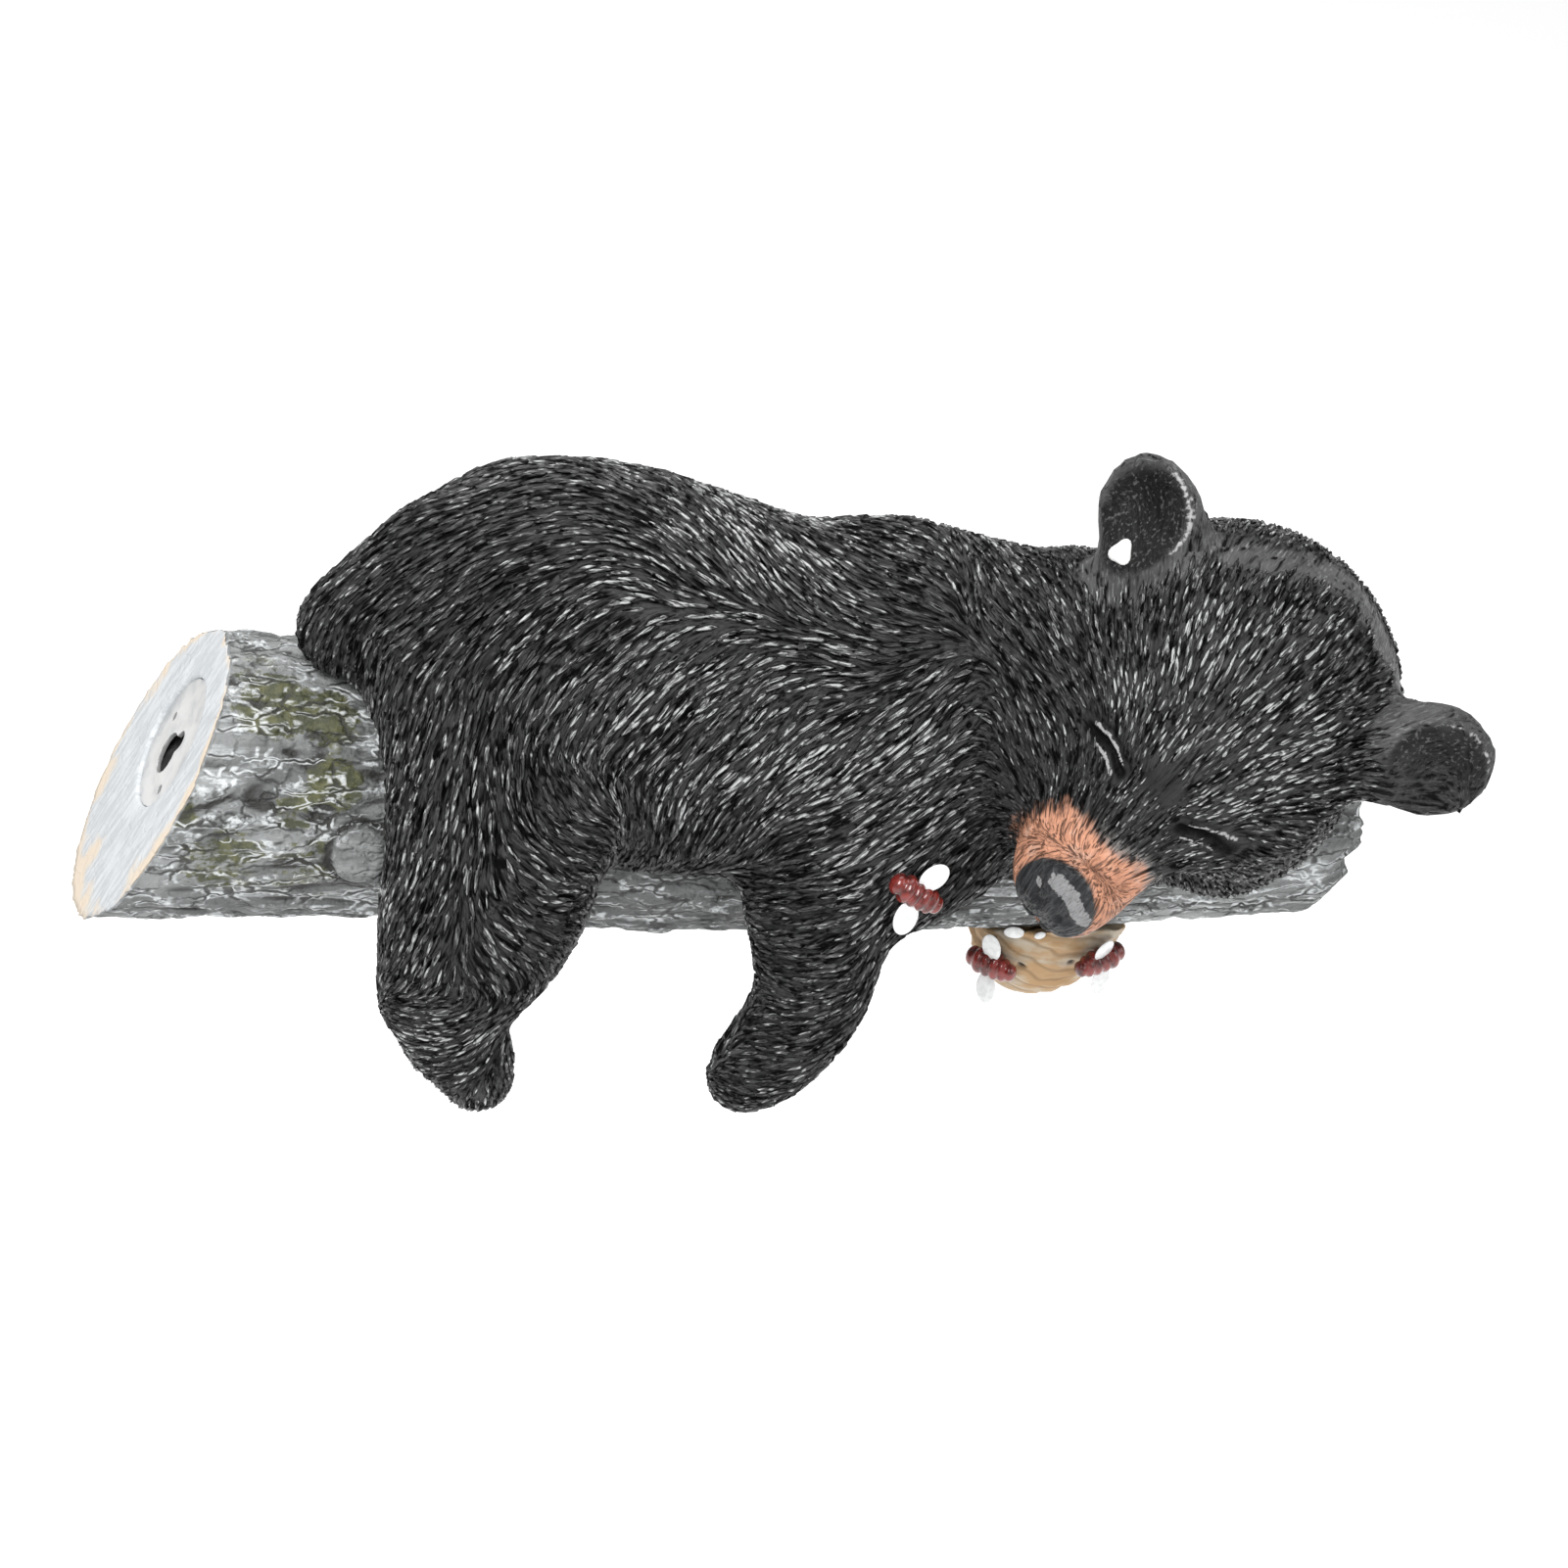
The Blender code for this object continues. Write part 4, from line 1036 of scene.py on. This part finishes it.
# The paint's map: the skin unfolded in the upper part, and a small cell for each stroke in the lower part.
SKIN_SHARE = 0.56
choose(cub)
new_map(cub.data)
edit_all((bpy.ops.uv.smart_project, {"angle_limit": math.radians(66), "island_margin": 0.002}))
unfolded = np.empty(len(cub.data.loops) * 2, np.float32)
cub.data.uv_layers["OFBake"].data.foreach_get("uv", unfolded)
unfolded = unfolded.reshape(-1, 2) * (1, SKIN_SHARE) + (0, 1 - SKIN_SHARE)
cub.data.uv_layers["OFBake"].data.foreach_set("uv", unfolded.astype(np.float32).ravel())
columns = math.ceil(math.sqrt(count / (1 - SKIN_SHARE)))
rows = math.ceil(count / columns)
cell_wide = 1 / columns
cell_high = (1 - SKIN_SHARE) / rows
IN_CELL = np.array(((0.5, 0), (0, 0.35), (0.5, 0.35), (1, 0.35), (0, 0.7), (0.5, 0.7), (1, 0.7), (0.5, 1)))
cell = np.arange(count)
corner_of = np.array([corner for face in STROKE_FACES for corner in face])
spot = IN_CELL[corner_of] * 0.8 + 0.1
cell_u = (cell % columns)[:, None] * cell_wide + spot[None, :, 0] * cell_wide
cell_v = (cell // columns)[:, None] * cell_high + spot[None, :, 1] * cell_high
new_map(coat.data).data.foreach_set("uv", np.stack((cell_u, cell_v), 2).astype(np.float32).ravel())
cub.data.shade_smooth()
coat.select_set(True)
bpy.ops.object.join()

FUR_GROOVE_SHADE = (0.0030, 0.0030, 0.0030)
FUR_RIDGE = (0.054, 0.054, 0.055)
FUR_WORN = (0.155, 0.155, 0.157)
FUR_LIGHT = (0.56, 0.57, 0.57)
MUZZLE_TAN = (0.60, 0.29, 0.185)
MUZZLE_SHADE = (0.15, 0.075, 0.050)
MUZZLE_PALE = (0.66, 0.42, 0.32)
MUZZLE_FADE = (0.30, 0.29, 0.28)
NOSE_GREY = (0.030, 0.031, 0.033)
NOSE_WORN = (0.26, 0.26, 0.265)
CUP_SHADE = (0.010, 0.010, 0.010)
PALE_LID_PAINT_AND_RIM_HIGHLIGHT = (0.42, 0.42, 0.42)


def combed_layer(places, flow, patch, across, along, shift):
    """Hair drawn out along the coat's flow, patch by patch, and how far each patch's edge is."""
    scaled = add_node("ShaderNodeMapping", {"Vector": places, "Scale": (1 / patch,) * 3, "Location": shift})
    scaled = scaled.outputs["Vector"]
    cells = add_node("ShaderNodeTexVoronoi", {"Vector": scaled, "Scale": 1.0})
    edge = add_node("ShaderNodeTexVoronoi", {"Vector": scaled, "Scale": 1.0}, feature="DISTANCE_TO_EDGE")
    local = vector_maths("SUBTRACT", scaled, cells.outputs["Position"])
    run = vector_maths("DOT_PRODUCT", local, flow)
    shortened = vector_maths("SCALE", flow, times(run, patch / across - patch / along))
    drawn = vector_maths("SUBTRACT", vector_maths("SCALE", local, patch / across), shortened)
    own = vector_maths("SCALE", cells.outputs["Color"], 40.0)
    hair = {"Vector": vector_maths("ADD", drawn, own), "Scale": 1.0, "Detail": 2.0, "Roughness": 0.5}
    return add_node("ShaderNodeTexNoise", hair).outputs["Fac"], edge.outputs["Distance"]


def combed(places, flow, patch, across, along, shift=0.0):
    """Two layers of patches, each seen where the other one's edges are."""
    first, edge = combed_layer(places, flow, patch, across, along, (shift, 0.3, 0.1))
    second, _ = combed_layer(places, flow, patch, across, along, (shift + 0.5, 0.8, 0.6))
    inputs = {0: between(edge, 0.02, 0.14), 2: second, 3: first}
    return add_node("ShaderNodeMix", inputs, data_type="FLOAT").outputs[0]


fur_paint, shader, places = new_paint("painted coat", 0.42)
flow_way = mask_of(shader, "flow", "Vector")
crest = mask_of(shader, "crest")
unruly = rest_of(mask_of(shader, "calm"))
hair = combed(places, flow_way, 0.008, 0.0011, 0.008)
fine_hair = combed(places, flow_way, 0.006, 0.00055, 0.0045, 3.0)
mottle = noise_of(places, 0.005, 4)
ridge = mixed(between(mottle, 0.3, 0.7), toned(FUR_RIDGE, 0.7), toned(FUR_RIDGE, 1.3))
calmed = plus(hair, times(mask_of(shader, "calm"), 0.08))
# Painted shade: the grooves between the standing hairs, and the eye slits, are painted near black.
standing = times(between(calmed, 0.37, 0.56), between(crest, -0.1, 0.7))
coat_colour = mixed(standing, FUR_GROOVE_SHADE, ridge)
# Grey and then light paint, dragged over the hairs that stand proud.
light = plus(plus(fine_hair, times(mask_of(shader, "fleck"), 0.24)), times(hair, 0.45))
worn_share = times(between(light, 0.82, 0.98), between(crest, 0.1, 0.7), unruly)
coat_colour = mixed(worn_share, coat_colour, FUR_WORN)
light_share = times(between(light, 0.93, 1.03), between(crest, 0.25, 0.8), unruly)
coat_colour = mixed(light_share, coat_colour, FUR_LIGHT)
faded_share = times(between(fine_hair, 0.42, 0.6), times(mask_of(shader, "faded"), 0.8))
coat_colour = mixed(faded_share, coat_colour, MUZZLE_FADE)
tan = mixed(times(between(mottle, 0.50, 0.68), 0.6), MUZZLE_TAN, MUZZLE_PALE)
tan = mixed(times(between(mottle, 0.46, 0.32), 0.6), tan, toned(MUZZLE_SHADE, 1.6))
tan = mixed(between(fine_hair, 0.39, 0.53), MUZZLE_SHADE, tan)
tanned = plus(mask_of(shader, "muzzle"), times(fine_hair, 0.8))
coat_colour = mixed(between(tanned, 0.62, 1.28), coat_colour, tan)
rubbed_edge = plus(mask_of(shader, "rubbed"), times(noise_of(places, 0.0013, 4), 1.5))
nose = mixed(between(rubbed_edge, 1.2, 1.4), NOSE_GREY, NOSE_WORN)
coat_colour = mixed(mask_of(shader, "nose"), coat_colour, nose)
stipple = noise_of(places, 0.0009, 3)
# Painted shade: the ears' cups are painted near black, with paler specks.
cup = mixed(between(stipple, 0.54, 0.70), CUP_SHADE, toned(CUP_SHADE, 9))
coat_colour = mixed(mask_of(shader, "cup"), coat_colour, cup)
# Pale paint on the edges of the lids, and the painted highlight along the ears' rims, both from the lid mask.
lid = plus(mask_of(shader, "lid"), times(stipple, 0.9))
coat_colour = mixed(times(between(lid, 0.88, 1.12), 0.9), coat_colour, PALE_LID_PAINT_AND_RIM_HIGHLIGHT)
# Painted shade damps the reflections in the grooves, so the hairs that stand shine more than the grooves.
shine = add_node("ShaderNodeMapRange", {"Value": standing, "To Min": 0.03, "To Max": 0.32})
shader.id_data.links.new(shine.outputs["Result"], shader.inputs["Specular IOR Level"])
hair_relief = times(plus(hair, times(fine_hair, 0.35)), plus(times(unruly, 0.8), 0.2))
lay_paint(shader, coat_colour, hair_relief, 0.0019)
cub.data.materials.clear()
cub.data.materials.append(fur_paint)
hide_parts("bear")
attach(cub, "root")

# The dab in the root of the near ear. A rounded three-cornered white drop, set on the
# painted coat.
DAB_PLACE = (3.0, -38.7, 21.1)
DAB_SIZE = (3.2, 2.6)
DAB_HEIGHT = 0.9
DAB_SEAT = 0.0002
DAB_WHITE = (0.86, 0.86, 0.85)
DAB_GREY = (0.66, 0.66, 0.65)

deselect()
landing, out, _, _ = tree_of_skin.find_nearest(head @ Vector(DAB_PLACE))
out = out.normalized()
bpy.ops.mesh.primitive_uv_sphere_add(segments=24, ring_count=14, radius=1, location=(0, 0, 0))
dab = bpy.context.object
dab.name = "ear_dab"
drop = points_of(dab.data)
lobes = 1 + 0.16 * np.cos(3 * np.arctan2(drop[:, 1], drop[:, 0]) - 0.6)
drop *= np.stack((lobes * DAB_SIZE[0], lobes * DAB_SIZE[1], np.full(len(lobes), DAB_HEIGHT)), 1) * MM
along = Vector((1, 0, 0)).cross(out).normalized()
set_down = axes_of(along, out)
move_points(dab.data, drop @ np.array(set_down).T + np.array(landing + out * DAB_SEAT))
dab.data.shade_smooth()
white_paint, shader, places = new_paint("white dab", 0.4)
soft = noise_of(places, 0.002, 3)
lay_paint(shader, mixed(between(soft, 0.4, 0.8), DAB_WHITE, DAB_GREY), soft, 0.0001)
dab.data.materials.append(white_paint)
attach(dab, "root")

# The hive. A small hollow casting in resin with papery layers and pits, painted in straw and grey, with
# painted shade darkening the pits and the grooves between the layers. It hangs askew under the log, by the
# cub's muzzle.
HIVE_LAYER = 0.0042
HIVE_RELIEF = 0.0007
HIVE_PITS = 0.0062
HIVE_PIT_DEPTH = 0.0012
HIVE_SLANT = 0.28
HIVE_GRAIN = 0.0005

hive = copy_of("hive", "wild_hive")
even_skin(hive, HIVE_GRAIN, 14)
pot = points_of(hive.data)
pot_out = points_of(hive.data, "normal")
layers = np.zeros(len(pot))
pits = np.zeros(len(pot))
for index, (x, y, z) in enumerate(pot.tolist()):
    point = Vector((x, y, z))
    level_here = z + HIVE_SLANT * x + 0.0022 * noise.noise(point / 0.009)
    level_here += 0.0008 * noise.noise(point / 0.003)
    wave = level_here / HIVE_LAYER
    layers[index] = 1 - abs(2 * (wave - math.floor(wave)) - 1) ** 0.7
    distances, _ = noise.voronoi(Vector((x * 0.7, y, z)) / HIVE_PITS + Vector((0.3, 0.2, 0.7)))
    pits[index] = max(0, 1 - distances[0] / 0.20)
pot += pot_out * ((layers - 0.6) * HIVE_RELIEF - pits * HIVE_PIT_DEPTH)[:, None]
move_points(hive.data, pot)
paint_mask(hive.data, "layer", layers)
paint_mask(hive.data, "pit", pits)
hive.data.shade_smooth()
STRAW = (0.43, 0.27, 0.13)
STRAW_PALE = (0.50, 0.43, 0.33)
STRAW_SHADE = (0.20, 0.12, 0.05)
PIT_SHADE = (0.03, 0.02, 0.012)
straw_paint, shader, places = new_paint("papery straw", 0.6)
cloud = noise_of(places, 0.006, 5, (2, 2, 0.8))
colour = mixed(between(cloud, 0.42, 0.62), STRAW, STRAW_PALE)
# Painted shade darkens the grooves between the layers, and paints the pits near black.
shade_between_layers = times(between(mask_of(shader, "layer"), 0.30, 0.02), 0.6)
colour = mixed(shade_between_layers, colour, STRAW_SHADE)
colour = mixed(between(mask_of(shader, "pit"), 0.1, 0.6), colour, PIT_SHADE)
fibres = noise_of(places, 0.0008, 4, (3, 3, 1))
lay_paint(shader, colour, fibres, 0.00016)
hive.data.materials.append(straw_paint)
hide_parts("hive")
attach(hive, "root")

# The bees. Small solid castings in glossy red-brown with white wings, glued on: one on the cub's foreleg
# and two on the hive. A third on the hive shows only the ends of its wings below the log.
BEE_LENGTH = 0.0128
BEE_BACK = 0.21
BEE_GRAIN = 0.022
# A bee's lobes in shares of its length: centre and radii, with the head at +X.
LOBES = (
    ((0.37, 0, 0.0), (0.13, 0.19, 0.17)),
    ((0.20, 0, 0.02), (0.14, 0.25, 0.22)),
    ((0.04, 0, 0.01), (0.12, 0.25, 0.22)),
    ((-0.12, 0, 0.0), (0.12, 0.25, 0.21)),
    ((-0.27, 0, 0.0), (0.11, 0.22, 0.18)),
    ((-0.40, 0, -0.01), (0.10, 0.16, 0.14)),
)
WING = ((0.02, 0.42, 0.05), (0.20, 0.29, 0.030))
WING_RISE = math.radians(10)
WING_SWEEP = math.radians(8)
# Each bee's piece, its solid, which way its head points, and how far it is turned and moved on its seat.
BEES = (
    ("bee_arm", "bee_on_arm", (-0.78, 0.46, 0.42), 0, (0, 0, 0.0014)),
    ("bee_left", "bee_hive_left", (-0.88, 0.38, 0.25), 18, (0, 0, 0)),
    ("bee_right", "bee_hive_right", (0.87, 0.10, 0.48), -20, (0, 0, 0)),
)


def add_ball(centre, radii, turn=None):
    """A ball with these radii, as a piece of its own."""
    bpy.ops.mesh.primitive_uv_sphere_add(segments=28, ring_count=18, radius=1)
    ball = bpy.context.object
    shape = (turn or Matrix.Identity(4)) @ Matrix.Translation(centre)
    ball.data.transform(shape @ Matrix.Diagonal((*radii, 1)))
    return ball


def joined(pieces, name):
    choose(pieces[0])
    for piece in pieces:
        piece.select_set(True)
    bpy.ops.object.join()
    pieces[0].name = name
    return pieces[0]


deselect()
body_lobes = joined([add_ball(centre, radii) for centre, radii in LOBES], "bee pattern")
even_skin(body_lobes, BEE_GRAIN, 2)
paint_mask(body_lobes.data, "wing", np.zeros(len(body_lobes.data.vertices)))
wings = []
for side in (-1, 1):
    turn = Matrix.Rotation(side * WING_SWEEP, 4, "Z") @ Matrix.Rotation(side * WING_RISE, 4, "X")
    centre, radii = WING
    wing = add_ball((centre[0], centre[1] * side, centre[2]), radii, turn)
    paint_mask(wing.data, "wing", np.ones(len(wing.data.vertices)))
    wings.append(wing)
pattern = joined([body_lobes, *wings], "bee pattern")
pattern.data.shade_smooth()

BEE_RED = (0.235, 0.022, 0.016)
BEE_DARK = (0.060, 0.008, 0.006)
WING_WHITE = (0.83, 0.84, 0.84)
bee_paint, shader, places = new_paint("glossy bee", 0.22)
shader.inputs["Coat Weight"].default_value = 0.5
shader.inputs["Coat Roughness"].default_value = 0.12
patches = noise_of(places, 0.0022, 3)
red = mixed(between(patches, 0.35, 0.7), BEE_RED, BEE_DARK)
veins = noise_of(places, 0.0012, 2)
pale_wing = mixed(between(veins, 0.4, 0.7), WING_WHITE, toned(WING_WHITE, 0.85))
lay_paint(shader, mixed(mask_of(shader, "wing"), red, pale_wing), patches, 0.0002)

for name, node, heading, askew, shift in BEES:
    solid = points_of(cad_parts[node].data)
    centred = solid - solid.mean(0)
    _, axes = np.linalg.eigh(centred.T @ centred)
    thin, body_axis = (Vector(axes[:, index]) for index in range(2))
    forward = body_axis * math.copysign(1, body_axis.dot(Vector(heading)))
    host = (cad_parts["bear"] if node == "bee_on_arm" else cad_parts["hive"]).data
    host_middle = Vector(points_of(host).mean(0))
    toward_viewer = Vector((0, -1, 0.3)) if node == "bee_on_arm" else Vector(solid.mean(0)) - host_middle
    up = thin * math.copysign(1, thin.dot(toward_viewer))
    set_down = axes_of(forward, up).to_4x4()
    spread_out = centred @ np.array(set_down.to_3x3())
    low, high = spread_out.min(0), spread_out.max(0)
    centre = Vector(((low[0] + high[0]) / 2, (low[1] + high[1]) / 2, high[2] - BEE_BACK * BEE_LENGTH))
    set_down.translation = Vector(solid.mean(0)) + set_down.to_3x3() @ centre + Vector(shift)
    set_down = set_down @ Matrix.Rotation(math.radians(askew), 4, "Z")
    bee_mesh = pattern.data.copy()
    bee_mesh.transform(set_down @ Matrix.Scale(BEE_LENGTH, 4))
    bee = placed(name, bee_mesh)
    bee.data.materials.append(bee_paint)
    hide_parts(node)
    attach(bee, "root")
bpy.data.objects.remove(pattern)

# The wing ends of the hive's third bee. The bee sits behind the log's lower edge, so only the ends of its
# two white wings are made.
WING_ENDS = (((188.5, -17.0, -26.3), (2.4, 0.5, 1.5), 10), ((193.6, -19.6, -25.2), (1.3, 0.5, 0.9), -20))

ends = []
for centre, radii, tilt in WING_ENDS:
    turn = body @ Matrix.Translation(centre) @ Matrix.Rotation(math.radians(tilt), 4, "Y")
    ends.append(add_ball((0, 0, 0), radii, turn))
wing_ends = joined(ends, "bee_wing_ends")
paint_mask(wing_ends.data, "wing", np.ones(len(wing_ends.data.vertices)))
wing_ends.data.shade_smooth()
wing_ends.data.materials.append(bee_paint)
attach(wing_ends, "root")
